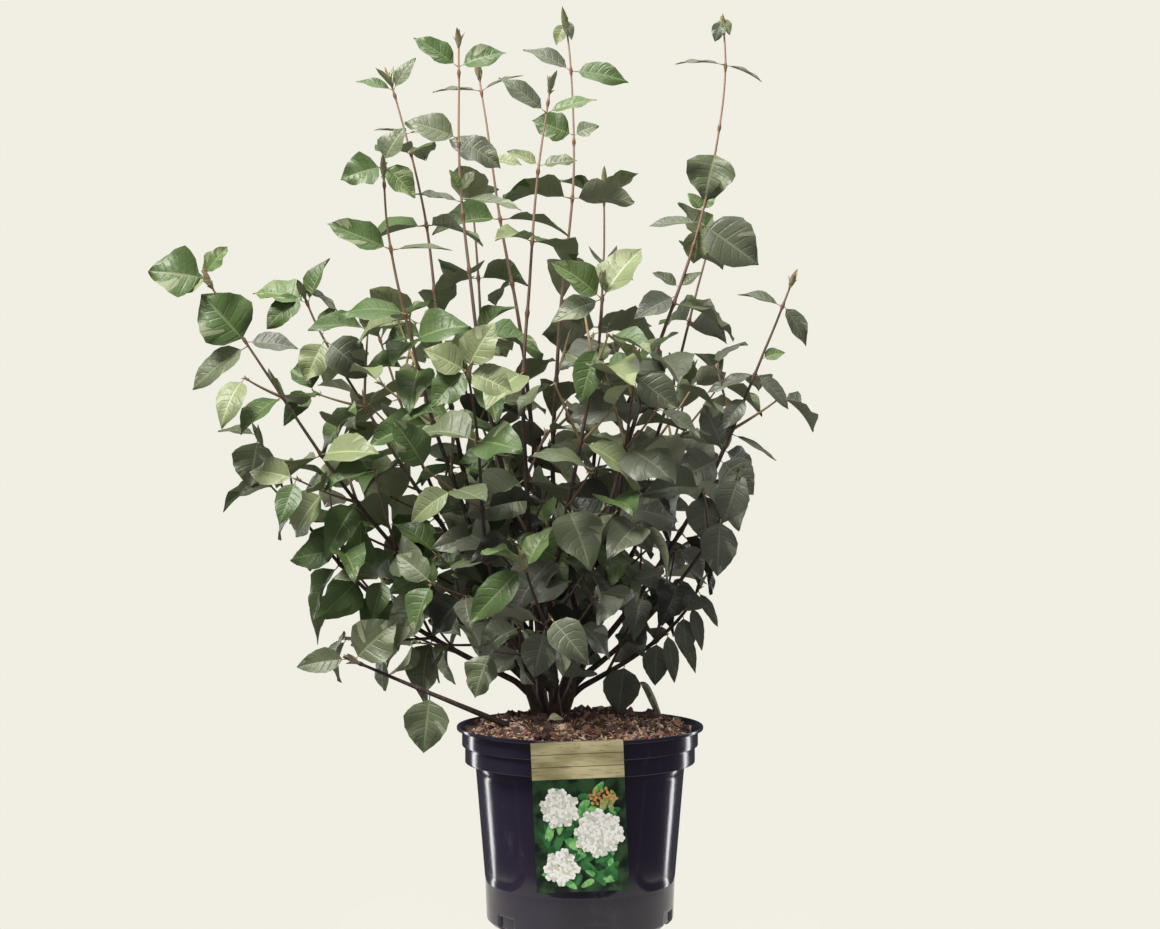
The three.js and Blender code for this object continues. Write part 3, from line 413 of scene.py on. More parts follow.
class Marks:
    """Points on limbs or leaves, each with its radius, that a new leaf or twig keeps clear of."""

    def __init__(self):
        self.rows = np.zeros((MOST_MARKS, 4))
        self.count = 0

    def add(self, points, radius=0.0):
        """Adds points."""
        rows = slice(self.count, self.count + len(points))
        self.rows[rows, :3] = points
        self.rows[rows, 3] = radius
        self.count += len(points)

    def add_limb(self, path, start, radius_of):
        """Adds points strung along a limb."""
        distances = strung(path, start)
        self.add(points_at(path, distances), radius_of(distances / path.total))

    def near(self, centre, reach):
        """The points within reach of a place."""
        rows = self.rows[:self.count]
        return rows[np.linalg.norm(rows[:, :3] - centre, axis=1) < reach]


def half_width(share, outline):
    """Half of a leaf's width as a share of its greatest, at shares of the blade's length.

    It is a factor times the share to one power times the rest of the length to another.
    """
    factor, to_root, to_tip = outline
    share = np.clip(share, 0, 1)
    return factor * share ** to_root * (1 - share) ** to_tip


def reach_along(share, length, droop):
    """How far a leaf's points lie along it: a drooping leaf reaches less far."""
    return share * length * (1 - LEAF.shorten * droop)


def leaf_points(leaf, share, across):
    """Points of one leaf: share runs from root to tip and across from -1 to 1.

    A point is the root, plus its reach along the leaf, plus across times the half width to the side, plus
    the fold's rise less the droop, which grows with the square of the share.
    """
    blade = np.clip((share - LEAF.stalk) / (1 - LEAF.stalk), 0, 1)
    half = leaf.width / 2 * half_width(blade, SOLID_OUTLINE)
    side = np.cross(leaf.normal, leaf.along)
    reach = reach_along(share, leaf.length, leaf.droop)
    fall = leaf.droop * share * share * leaf.length
    rise = np.abs(across) * half * LEAF.fold - fall
    return moved(leaf.root, (leaf.along, reach), (side, across * half), (leaf.normal, rise))


MARK_SHARES, MARK_ACROSS = np.meshgrid(np.arange(1, 9) / 8, [-0.9, -0.45, 0, 0.45, 0.9], indexing="ij")


def leaf_marks(leaf):
    """The points of a leaf that keep clear of others."""
    return leaf_points(leaf, MARK_SHARES, MARK_ACROSS).reshape(-1, 3)


def make_leaf(spot, turn, angle, roll, length, aspect, droop):
    """One leaf: its root, its direction, the way its face looks, its size and its droop."""
    axis, root = spot.axis, spot.root
    along = slanting(axis, turn, angle * DEGREE)
    along[2] -= spot.sag
    along = unit(along)
    low = clamped((LEAF.lean_top - root[2]) / LEAF.lean_depth, LEAF.lean_least)
    face = UP * LEAF.up + axis * LEAF.outward
    face[1] += (-1 if root[1] < LEAF.lean_plane else 1) * LEAF.lean * low
    normal = rolled(squared(face, along), along, roll * DEGREE)
    return Named(root=root, along=along, normal=normal, length=length, width=length * aspect, droop=droop)


def outside_pot(marks):
    """Whether all the marks keep off the soil and the pot."""
    reach = np.hypot(marks[:, 0], marks[:, 1])
    lowest = np.where(reach < POT.lip + POT_CLEAR, SOIL.top + SOIL_CLEAR, LOWEST_POINT)
    return bool((marks[:, 2] > lowest).all())


def clear_of(marks, root, others, clear):
    """Whether the marks keep clear of the others, apart from those close to the root."""
    far = marks[np.linalg.norm(marks - root, axis=1) >= LEAF.near_root]
    if not len(far) or not len(others):
        return True
    distance = np.linalg.norm(far[:, None, :] - others[None, :, :3], axis=2)
    return bool((distance >= clear + others[:, 3]).all())


def has_room(world, marks, root, centre, reaches, clears):
    """Whether marks keep off the pot and clear of the limbs and leaves near their middle."""
    return outside_pot(marks) and all(
        clear_of(marks, root, world[kind].near(centre, reach), clear)
        for kind, reach, clear in zip(("limbs", "leaves"), reaches, clears))


def place_leaf(random, spot, world, clear):
    """Tries a leaf a few times, each time turned otherwise, and keeps it if it has room."""
    for attempt in range(LEAF.tries):
        wide = 1 + attempt * LEAF.widen
        turn = spot.turn + (random() - 0.5) * LEAF.turn_spread * wide
        angle = spot.angle + (random() - 0.5) * LEAF.angle_spread * wide
        roll = (random() - 0.5) * LEAF.roll * wide
        length = spot.length * (1 - attempt * LEAF.shrink)
        aspect = LEAF.narrow + (LEAF.wide - LEAF.narrow) * random()
        droop = LEAF.droop + LEAF.droop_spread * random()
        leaf = make_leaf(spot, turn, angle, roll, length, aspect, droop)
        marks = leaf_marks(leaf)
        centre = leaf_points(leaf, np.array(0.5), np.array(0.0))
        search = length * LEAF.search
        reaches = (search + LEAF.search_limb, search + LEAF.search_leaf)
        if has_room(world, marks, spot.root, centre, reaches, (LEAF.clear_limb, clear)):
            world["leaves"].add(marks)
            leaf.young = spot.young
            return leaf
    return None


def make_node(path, below, turn, depth):
    """A place on a shoot where a pair of leaves stands."""
    distance = path.total - below
    return Named(at=point_at(path, distance), axis=tangent_at(path, distance), turn=turn, below=below,
                 depth=depth, distance=distance)


def shoot_nodes(row, path, random):
    """Nodes of a shoot, from the tip down."""
    bare, below, turn = row[6], row[7], row[8]
    nodes = []
    usable = path.total - bare - NODE.end
    while below < usable:
        depth = below / (path.total - bare)
        nodes.append(make_node(path, below, turn, depth))
        turn += NODE.quarter
        below += (NODE.step + (NODE.step_low - NODE.step) * depth
                  + NODE.step_spread * (random() - 0.5) * 2)
    return nodes


def make_spot(at, axis, turn, angle, length, depth, young):
    """Where and how a leaf stands."""
    return Named(root=at, axis=axis, turn=turn, angle=angle, length=length,
                 sag=LEAF.sag + LEAF.sag_low * depth, young=young)


def node_spot(node, side, random):
    """Where and how a leaf of a node stands."""
    young, depth = node.below < NODE.young, node.depth
    base = LEAF.young if young else LEAF.full + LEAF.grow * depth
    angle = LEAF.young_angle if young else LEAF.full_angle + LEAF.low_angle * depth
    length = base + LEAF.spread * (random() - LEAF.skew)
    return make_spot(node.at, node.axis, node.turn + 180 * side, angle, length, depth, young)


def make_twig(node, side, random):
    """A side twig: a short shoot that turns up."""
    turn = node.turn + 180 * side + TWIG.turn_spread * (random() - 0.5)
    angle = (TWIG.angle + TWIG.angle_spread * (random() - 0.5)) * DEGREE
    length = TWIG.length + TWIG.spread * random()
    along = slanting(node.axis, turn, angle)
    foot = node.at + node.axis * TWIG.rise
    middle = foot + along * length * 0.5
    tip = foot + along * length + UP * TWIG.lift * length * 0.5
    return Named(path=make_path([foot, middle, tip]), turn=turn, leaves=[], root=node.at)


def place_twig(shoot, node, twig, world, rule, random):
    """Keeps a twig that has room, with the leaves on it that have room."""
    path = twig.path
    marks = points_at(path, strung(path, TWIG.ignore))
    reaches = (path.total + TWIG.search,) * 2
    if not has_room(world, marks, node.at, path.points[1], reaches, (rule.clear, rule.clear_leaf)):
        return
    stops = [path.total] + ([path.total * 0.5] if path.total > TWIG.second else [])
    turn = twig.turn + NODE.quarter * 0.5
    for stop in stops:
        at = point_at(path, stop - 1 if stop == path.total else stop)
        for side in (0, 1):
            length = LEAF.young + LEAF.spread * (random() - LEAF.skew)
            spot = make_spot(at, tangent_at(path, stop), turn + 180 * side,
                             LEAF.young_angle + TWIG.leaf_angle, length, node.depth, False)
            leaf = place_leaf(random, spot, world, rule.leaf_clear)
            if leaf:
                twig.leaves.append(leaf)
        turn += NODE.quarter
    if twig.leaves:
        world["limbs"].add_limb(path, TWIG.ignore, lambda share: TWIG.radius)
        shoot.twigs.append(twig)


def bough_nodes(shoot):
    """Further nodes down the bare foot of a shoot, for the finer twigs."""
    path, last = shoot.path, shoot.nodes[-1]
    nodes, turn = [], last.turn + NODE.quarter
    below = path.total - last.distance + FINE.foot_step
    while below < path.total - FINE.foot_bare:
        nodes.append(make_node(path, below, turn, 1.0))
        turn += NODE.quarter
        below += FINE.foot_step
    return nodes


def grow_twigs(shoots, world, rule, draws):
    """Side twigs in the axils of the lower leaves, from each shoot's tip down."""
    for shoot in shoots:
        random = draws(shoot)
        for node in shoot.nodes[1:] + (bough_nodes(shoot) if rule is FINE else []):
            if node.at[2] > rule.top:
                continue
            for side in (0, 1):
                draw = random()
                twig = make_twig(node, side, random)
                if draw < rule.chance + rule.left_chance * clamped(-node.at[0] / LEFT_REACH):
                    place_twig(shoot, node, twig, world, rule, random)


def plan_shrub():
    """The whole plan: each shoot with its path, nodes, leaves and twigs."""
    world = {"limbs": Marks(), "leaves": Marks()}
    shoots = []
    for index, row in enumerate(SHOOTS):
        random = make_random(index + PLAN_SEED)
        path = shoot_path(row)
        shoots.append(Named(name=row[0], tip_turn=row[8], index=index, path=path, random=random,
                            nodes=shoot_nodes(row, path, random), leaves=[], twigs=[]))
    for name in STEMS:
        world["limbs"].add_limb(stem_path(name), 0, stem_radius)
    for shoot in shoots:
        world["limbs"].add_limb(shoot.path, 0, shoot_radius)
    for shoot in shoots:
        for node in shoot.nodes:
            for side in (0, 1):
                spot = node_spot(node, side, shoot.random)
                leaf = place_leaf(shoot.random, spot, world, LEAF.clear)
                if leaf:
                    shoot.leaves.append(leaf)
    grow_twigs(shoots, world, TWIG, lambda shoot: shoot.random)
    grow_twigs(shoots, world, FINE, lambda shoot: make_random(shoot.index + FINE.seed))
    return shoots


class Shape:
    """Gathers one mesh: points in millimetres, faces, their materials and a UV map."""

    def __init__(self):
        self.points, self.uvs, self.loops, self.sizes, self.kinds = [], [], [], [], []
        self.count = 0

    def add_points(self, points, uv=None):
        """Adds points (n, 3) and gives back the number of the first."""
        points = np.asarray(points, float).reshape(-1, 3)
        self.points.append(points)
        self.uvs.append(np.zeros((len(points), 2)) if uv is None else np.asarray(uv, float).reshape(-1, 2))
        self.count += len(points)
        return self.count - len(points)

    def add_faces(self, faces, start, kind=0):
        """Adds faces (m, 3 or 4), counted from a point, with a material index or one for each face."""
        faces = np.asarray(faces, int)
        self.loops.append((faces + start).ravel())
        self.sizes.append(np.full(len(faces), faces.shape[1]))
        self.kinds.append(np.broadcast_to(kind, (len(faces),)))

    def add(self, points, faces, kind=0, uv=None):
        """Adds points with faces over them."""
        start = self.add_points(points, uv)
        self.add_faces(faces, start, kind)
        return start

    def add_closed(self, grid, ends, kind=0, kinds=None, uv=None, end_uv=None, inward=False):
        """Adds rings of points, joined row by row and closed by fans to the two end points."""
        rows, columns = grid.shape[:2]
        quads, ring = grid_faces(rows, columns), np.arange(columns)
        start = self.add(grid, quads[:, ::-1] if inward else quads, kind if kinds is None else kinds, uv)
        caps = self.add_points(ends, end_uv) - start
        self.add_faces(fan_faces(caps, ring, not inward), start, kind)
        self.add_faces(fan_faces(caps + 1, ring + (rows - 1) * columns, inward), start, kind)

    def add_copies(self, points, groups, kinds, uv):
        """Adds n copies of a template: points (n, v, 3), face groups and, for each copy, its kinds."""
        copies, size = points.shape[:2]
        start = self.add_points(points, np.broadcast_to(uv, (copies, size, 2)))
        offsets = (np.arange(copies) * size)[:, None, None]
        for faces, kind in zip(groups, kinds):
            faces = np.asarray(faces, int)
            every = (faces[None] + offsets).reshape(-1, faces.shape[1])
            self.add_faces(every, start, np.repeat(kind, len(faces)))

    def build(self, name, materials, smooth=True, rim=None):
        """Makes the object, in metres; edges between rim points stay sharp."""
        points = np.concatenate(self.points) * MM
        loops = np.concatenate(self.loops).astype(np.int32)
        sizes = np.concatenate(self.sizes).astype(np.int32)
        mesh = bpy.data.meshes.new(name)
        mesh.vertices.add(len(points))
        mesh.vertices.foreach_set("co", points.astype(np.float32).ravel())
        mesh.loops.add(len(loops))
        mesh.loops.foreach_set("vertex_index", loops)
        mesh.polygons.add(len(sizes))
        starts = np.concatenate([[0], np.cumsum(sizes)[:-1]]).astype(np.int32)
        mesh.polygons.foreach_set("loop_start", starts)
        mesh.polygons.foreach_set("material_index", np.concatenate(self.kinds).astype(np.int32))
        mesh.polygons.foreach_set("use_smooth", np.full(len(sizes), smooth))
        layer = mesh.uv_layers.new(name="Along")
        layer.data.foreach_set("uv", np.concatenate(self.uvs)[loops].astype(np.float32).ravel())
        mesh.update(calc_edges=True)
        if mesh.validate():
            raise RuntimeError(f"{name} has faults in its mesh")
        if rim is not None:
            ends = np.zeros(len(mesh.edges) * 2, np.int32)
            mesh.edges.foreach_get("vertices", ends)
            sharp = mesh.attributes.new("sharp_edge", "BOOLEAN", "EDGE")
            sharp.data.foreach_set("value", rim[ends.reshape(-1, 2)].all(axis=1))
        for material in materials:
            mesh.materials.append(material)
        return added(name, mesh)


def added(name, data):
    """An object in the scene."""
    made = bpy.data.objects.new(name, data)
    bpy.context.scene.collection.objects.link(made)
    return made


def placed(piece, node):
    """Gives the piece the part's one body and the solid that it replaces."""
    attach(piece, "root")
    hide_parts(node)


def grid_faces(rows, columns):
    """Quads of a grid of points, row by row, whose last column joins its first."""
    i, k = np.meshgrid(np.arange(rows - 1), np.arange(columns), indexing="ij")
    after = (k + 1) % columns
    quads = [i * columns + k, i * columns + after, (i + 1) * columns + after, (i + 1) * columns + k]
    return np.stack(quads, -1).reshape(-1, 4)


def fan_faces(centre, ring, flip):
    """Triangles from a centre point to a closed ring."""
    after = np.roll(ring, -1)
    triangles = np.stack([np.full(len(ring), centre), ring, after], -1)
    return triangles[:, ::-1] if flip else triangles


def paired(*parts):
    """Arrays brought to one shape, as the last axis of one array."""
    return np.stack(np.broadcast_arrays(*parts), -1)


def frames_along(points):
    """Direction and two cross directions at each point of a line, without twist."""
    tangents = units(np.gradient(points, axis=0))
    first = cross_axes(tangents[0])[0]
    firsts = []
    for tangent in tangents:
        first = squared(first, tangent)
        firsts.append(first)
    firsts = np.array(firsts)
    return tangents, firsts, np.cross(tangents, firsts)


# How far a tube's rounded ends stand out, by its radius
TUBE_FOOT = 0.4
TUBE_TIP = 0.6


def add_tube(shape, points, radii, sides, kind=0, relief=None, bands=None):
    """A tube with closed ends: each ring is its centre plus radius times (cos, sin) of the angle.

    Relief adds to the radii, and bands are the materials between the rings.
    """
    tangents, first, second = frames_along(points)
    angle = ring_angles(sides)
    radius = np.asarray(radii, float)[:, None] * np.ones(sides)
    if relief is not None:
        radius = radius + relief
    rings = moved(points[:, None], (first[:, None], np.cos(angle) * radius),
                  (second[:, None], np.sin(angle) * radius))
    lengths = np.concatenate([[0], np.cumsum(np.linalg.norm(np.diff(points, axis=0), axis=1))])
    uv = paired(lengths[:, None] * MM, np.arange(sides) / sides)
    ends = np.stack([points[0] - tangents[0] * radius[0, 0] * TUBE_FOOT,
                     points[-1] + tangents[-1] * radius[-1, 0] * TUBE_TIP])
    kinds = None if bands is None else np.repeat(bands, sides)
    shape.add_closed(rings, ends, kind, kinds, uv, [uv[0, 0], uv[-1, 0]])


# Leaves

LEAF_ROWS = 14
MIDRIB = 0.05
LEAF_COLUMNS = (-1.0, -0.52, -MIDRIB, MIDRIB, 0.52, 1.0)
REACH_PLAY = 5.0
# A blade's relief, most of it by the leaf's own length or width
BLADE = Named(
    lean=0.9, lean_power=1.2, tooth_out=0.024, tooth_in=0.02, tooth_length=55.0, bulge=(0.1, 0.4),
    groove=0.12, furrow=0.014, ripples=(7, 15), wave=(0.05, 0.13), curl=(-0.06, 0.22), tip_curl=(0, 0.12),
    sway=0.09, thick=0.45, rib=0.006, calm=0.5)
# The pairs of young leaves at a tip: their angle off it and their length
BUD_PAIRS = ((9, 1.0), (5, 0.66), (34, 0.34))
BUD_OPENING = 16
YOUNG = Named(
    tilt=(-6, 9), spin=(-12, 12), length=(0.85, 1.2), width=(0.2, 0.32), droop=(-0.06, 0.12), fold=0.7,
    sunk=0.8)
# The crown's lower outline: over the pot, and where it rises to the right
CROWN = Named(pot_reach=15.0, foot=250.0, rise_from=102.0, rise_foot=286.0, rise=1.5)
# High leaves turn their faces outwards and lie flatter, and low ones roll, droop and are slimmer
DRESS = Named(
    high_from=440, high_over=240, high_most=0.72, flat_chance=0.5, flat=0.3, young_up=(0.25, 0.6), up=0.75,
    outward=(0.25, 0.95), low_below=480, low_over=120, roll=13, low_roll=17, slim=(0.74, 1.0),
    low_slim=0.08, shorter=0.1, longest=84, fold=(0.2, 0.78), low_droop=0.06)
# A leaf that stands out in the view: the rise of its face, its width, droop and fold
SET = Named(face_up=0.25, slim=0.96, droop=0.12, fold=0.24, fold_spread=0.2)
# How near to one of those, by its length, another leaf makes way, and when two spring from one place
WAY = Named(near=0.36, same_root=14, same_way=0.6, hides=0.42)
# A leaf in front of a shown shoot: how near to it, by the leaf's width, how far before it, how often out
HIDES = Named(above=430, near=5, width=0.28, before=4, chance=0.5)


def leaf_template():
    """A closed leaf of few faces: a furrowed upper side, and an underside with a ridge for its midrib.

    Rows follow the side veins, which lean forward, so their ends are the teeth of the edge. The middle
    column of the upper side is the midrib. Each row ends with one point of the underside.
    """
    width = len(LEAF_COLUMNS)
    stride, end = width + 1, LEAF_ROWS - 1
    rows, across, under = [0.0], [0.0], [0.0]
    for i in range(1, LEAF_ROWS):
        rows += [i / LEAF_ROWS] * stride
        across += list(LEAF_COLUMNS) + [0.0]
        under += [0.0] * width + [1.0]
    rows.append(1.0)
    across.append(0.0)
    under.append(0.0)
    last = len(rows) - 1

    def at(i, k):
        return 1 + (i - 1) * stride + k

    middle = (width - 1) // 2
    blade_columns = [k for k in range(width - 1) if k != middle]
    blade, rib, below, ends, rib_ends, below_ends = [], [], [], [], [], []
    for i in range(1, end):
        blade += [(at(i, k), at(i + 1, k), at(i + 1, k + 1), at(i, k + 1)) for k in blade_columns]
        rib.append((at(i, middle), at(i + 1, middle), at(i + 1, middle + 1), at(i, middle + 1)))
        below += [(at(i, 0), at(i, width), at(i + 1, width), at(i + 1, 0)),
                  (at(i, width), at(i, width - 1), at(i + 1, width - 1), at(i + 1, width))]
    for made, columns in ((ends, blade_columns), (rib_ends, [middle])):
        made += [(0, at(1, k), at(1, k + 1)) for k in columns]
        made += [(last, at(end, k + 1), at(end, k)) for k in columns]
    below_ends += [(0, at(1, width), at(1, 0)), (0, at(1, width - 1), at(1, width))]
    below_ends += [(last, at(end, 0), at(end, width)), (last, at(end, width), at(end, width - 1))]
    groups = (blade, ends, rib, rib_ends, below, below_ends)
    return np.array(rows), np.array(across), np.array(under), groups


def stack(leaves, *keys):
    """Values of every leaf, one array for each key."""
    return [np.array([getattr(leaf, key) for leaf in leaves]) for key in keys]


def add_leaves(shape, leaves, kinds, seed):
    """Adds leaves, each a copy of the template bent to its own plan.

    A point at blade share b and across v lies at the root plus b along the leaf, v times the blade's
    half width to the side, and a height made of the fold, a bulge between midrib and edge, the veins'
    furrows, a wavy edge and the droop of the tip.
    """
    if not leaves:
        return
    rng = np.random.default_rng(seed)

    def drawn(low, high):
        return rng.uniform(low, high, (len(leaves), 1))

    rows, across, under, groups = leaf_template()
    root, along, normal = stack(leaves, "root", "along", "normal")
    sizes = stack(leaves, "length", "width", "droop", "fold")
    length, width, droop, fold = (values[:, None] for values in sizes)
    side = np.cross(normal, along)
    v = np.abs(across)
    blade = rows + BLADE.lean * v ** BLADE.lean_power * rows * (1 - rows)
    odd = np.round(rows * LEAF_ROWS) % 2 == 1
    middle = 4 * rows * (1 - rows)
    tooth = np.where(odd, BLADE.tooth_out, -BLADE.tooth_in) * (v > 0.9) * np.minimum(middle * 1.6, 1)
    tooth = tooth * np.clip(length / BLADE.tooth_length, 0.1, 1)
    play = np.array([[BLADE.calm if hasattr(leaf, "calm") else 1.0] for leaf in leaves])
    half = width / 2 * (half_width(blade, OUTLINE) * (1 + tooth))
    share = LEAF.stalk + blade * (1 - LEAF.stalk)
    reach = reach_along(share, length, droop)
    height = half * (fold * v + drawn(*BLADE.bulge) * v * (1 - v)) - (1 - v) ** 8 * BLADE.groove
    furrow = np.where(odd, 0.5, -0.5) * (v > 0.1) * (v < 0.9) * middle * BLADE.furrow * width / 2
    edge = np.sin(blade * drawn(*BLADE.ripples) + drawn(0, 6.3) + across * 1.7)
    wave = edge * v ** 2 * middle * width * drawn(*BLADE.wave)
    curl = -drawn(*BLADE.curl) * width * v ** 2 * blade * play
    curl = curl - drawn(*BLADE.tip_curl) * length * blade ** 3 * play
    below = under * (BLADE.thick + BLADE.rib * width)
    height = height + furrow + wave + curl - droop * share ** 2 * length - below
    sway = drawn(-BLADE.sway, BLADE.sway) * length * blade ** 2 * play
    points = moved(root[:, None], (along[:, None], reach), (side[:, None], across * half + sway),
                   (normal[:, None], height))
    uv = np.stack([rows, across * 0.5 + 0.5], -1)
    kinds = np.asarray(kinds)
    shape.add_copies(points, groups, (kinds, kinds, kinds + 1, kinds + 1, kinds + 2, kinds + 2), uv)


def add_stalks(shape, leaves, kind):
    """Leaf stalks: rings of radius times (cos, sin) round points along the foot of each leaf."""
    if not leaves:
        return
    root, along, normal = stack(leaves, "root", "along", "normal")
    length, droop = (values[:, None] for values in stack(leaves, "length", "droop"))
    shares = np.array(LEAF.stalk_shares) * LEAF.stalk
    radii = np.array(LEAF.stalk_radii) * np.clip(length / 75, 0.5, 1.2)
    side = np.cross(normal, along)
    reach = reach_along(shares, length, droop)
    centre = moved(root[:, None], (along[:, None], reach),
                   (-normal[:, None], droop * shares ** 2 * length + 0.25))
    angle = ring_angles(LEAF.stalk_sides)
    ring = moved(centre[:, :, None], (side[:, None, None], np.cos(angle) * radii[..., None]),
                 (normal[:, None, None], np.sin(angle) * radii[..., None]))
    rings = len(LEAF.stalk_shares)
    points = ring.reshape(len(leaves), rings * LEAF.stalk_sides, 3)
    quads = grid_faces(rings, LEAF.stalk_sides)[:, ::-1]
    caps = [(0, 1, 2, 3), (11, 10, 9, 8)]
    uv = paired(np.repeat(shares, LEAF.stalk_sides), np.tile(angle, rings))
    kinds = np.full(len(leaves), kind)
    shape.add_copies(points, (quads, caps), (kinds, kinds), uv)


def bud_leaves(at, axis, turn, rng, size):
    """Young leaves that still stand upright, folded, round the tip of a shoot."""
    first, second = cross_axes(axis)
    made = []
    opening = rng.uniform(0, 1) ** 2
    for pair, (angle, length) in enumerate(BUD_PAIRS):
        angle = angle + (BUD_OPENING * opening if pair == 0 else 0)
        for side in (0, 1):
            tilt = (angle + rng.uniform(*YOUNG.tilt)) * DEGREE
            spin = (turn + 90 * pair + 180 * side + rng.uniform(*YOUNG.spin)) * DEGREE
            outward = first * cos(spin) + second * sin(spin)
            along = axis * cos(tilt) + outward * sin(tilt)
            made.append(Named(root=at - axis * size * YOUNG.sunk, along=along,
                              normal=unit(along * outward.dot(along) - outward),
                              length=size * length * rng.uniform(*YOUNG.length),
                              width=size * length * rng.uniform(*YOUNG.width),
                              droop=rng.uniform(*YOUNG.droop), fold=YOUNG.fold, young=True))
    return made


def bud_at(path, turn, rng, size):
    """The young leaves at the tip of a shoot or twig."""
    return bud_leaves(path.points[-1], tangent_at(path, path.total), turn, rng, rng.uniform(*size))


def lowest_leaf(x, y):
    """The height of the crown's lower outline."""
    over_pot = np.where(np.hypot(x, y) < POT.lip + CROWN.pot_reach, CROWN.foot, 0)
    rising = CROWN.rise_foot + (x - CROWN.rise_from) * CROWN.rise
    return np.maximum(over_pot, np.where(x > CROWN.rise_from, rising, 0))


def within_reach(leaf):
    """Whether a leaf stays in the solids' box and above the crown's lower outline."""
    marks = leaf_marks(leaf)
    if (marks[:, 2] < lowest_leaf(marks[:, 0], marks[:, 1])).any():
        return False
    return bool((marks > SOLIDS_BOX[0] - REACH_PLAY).all() and (marks < SOLIDS_BOX[1] + REACH_PLAY).all())


def dressed(leaf, rng):
    """A leaf with its own fold, slimmer than its solid; high ones face outwards."""
    height = leaf.root[2]
    high = clamped((height - DRESS.high_from) / DRESS.high_over) * DRESS.high_most
    along = leaf.along
    if rng.random() < DRESS.flat_chance * high:
        along = unit(along * np.array([1, 1, DRESS.flat]))
    if leaf.young:
        along = unit(along + UP * rng.uniform(*DRESS.young_up))
    front = -1 if leaf.root[1] < LEAF.lean_plane else 1
    face = UP * DRESS.up + np.array([0, front * rng.uniform(*DRESS.outward), 0])
    normal = squared(leaf.normal * (1 - high) + squared(face, along) * high, along)
    low = clamped((DRESS.low_below - height) / DRESS.low_over)
    roll = rng.normal(0, DRESS.roll + DRESS.low_roll * low) * DEGREE
    normal = rolled(normal, along, roll)
    slim = rng.uniform(*DRESS.slim) - DRESS.low_slim * low
    length = min(leaf.length * (1 - DRESS.shorter * low), DRESS.longest)
    fold, width = rng.uniform(*DRESS.fold), leaf.width * slim
    droop = leaf.droop + DRESS.low_droop * low
    return Named(root=leaf.root, along=along, normal=normal, length=length, width=width, droop=droop,
                 fold=fold, young=leaf.young)


def notable_leaf(shoot, below, turn, lean, length, ratio, facing, tone):
    """A leaf set by how it shows in the picture."""
    along = unit(np.array([cos(turn * DEGREE), -lean, sin(turn * DEGREE)]))
    face = UP * (1 - facing) + np.array([0.0, -1.0, SET.face_up]) * facing
    path = shoot.path
    return Named(root=point_at(path, path.total - below), along=along, normal=squared(face, along),
                 length=float(length), width=length * ratio * SET.slim, droop=SET.droop,
                 fold=SET.fold + SET.fold_spread * (turn * 7 % 10) / 10, calm=True, young=tone == FRESH,
                 tone=tone)


def middle_of(leaf):
    """The middle of a leaf's blade."""
    return leaf.root + leaf.along * leaf.length * 0.55


def makes_way(leaf, notable):
    """Whether a leaf takes the place of a notable one or hides it."""
    gap = middle_of(leaf) - middle_of(notable)
    if np.linalg.norm(gap) < notable.length * WAY.near:
        return True
    same_root = np.linalg.norm(leaf.root - notable.root) < WAY.same_root
    if same_root and leaf.along.dot(notable.along) > WAY.same_way:
        return True
    return bool(gap[1] < 0 and hypot(gap[0], gap[2]) < notable.length * WAY.hides)


# Where the picture shows gaps between the leaves: x from and to, height from and to, and the share of the
# leaves left out there; the first row that holds a leaf's root counts
GAPS = (
    (-500, -100, 0, 312, 1), (30, 500, 0, 470, 0.14), (60, 150, 0, 700, 0.26), (150, 500, 0, 700, 0.5),
    (-500, 10, 530, 740, 0.24),
)
# Beyond a slanting edge at the lower right, more leaves are left out
EDGE = Named(x=88, height=340, slope=0.7, least_x=30, top=470, share=0.8)


def open_share(x, height):
    """The share of the leaves at a place that is left out."""
    if x > max(EDGE.x + (height - EDGE.height) * EDGE.slope, EDGE.least_x) and height < EDGE.top:
        return EDGE.share
    for left, right, foot, top, share in GAPS:
        if left <= x < right and foot < height < top:
            return share
    return 0


def left_open(leaf, rng):
    """Whether a leaf is left out where the picture shows gaps between the leaves."""
    share = open_share(leaf.root[0], leaf.root[2])
    return share == 1 or bool(share and rng.random() < share)


def shown_shoots(shoots):
    """Points along the shoots that the picture shows through the leaves."""
    lines = []
    for shoot in shoots:
        if shoot.name in SHOWN or shoot.name in ARMS:
            path = shoot.path
            lines.append(points_at(path, np.arange(0.2, 1, 0.012) * path.total))
    return np.concatenate(lines)


def hides_shoot(leaf, lines, rng):
    """Whether a leaf in front of a shown shoot is left out."""
    gaps = lines - middle_of(leaf)
    near = np.hypot(gaps[:, 0], gaps[:, 2]) < HIDES.near + leaf.width * HIDES.width
    in_front = (near & (gaps[:, 1] > HIDES.before)).any()
    return bool(leaf.root[2] > HIDES.above and in_front and rng.random() < HIDES.chance)


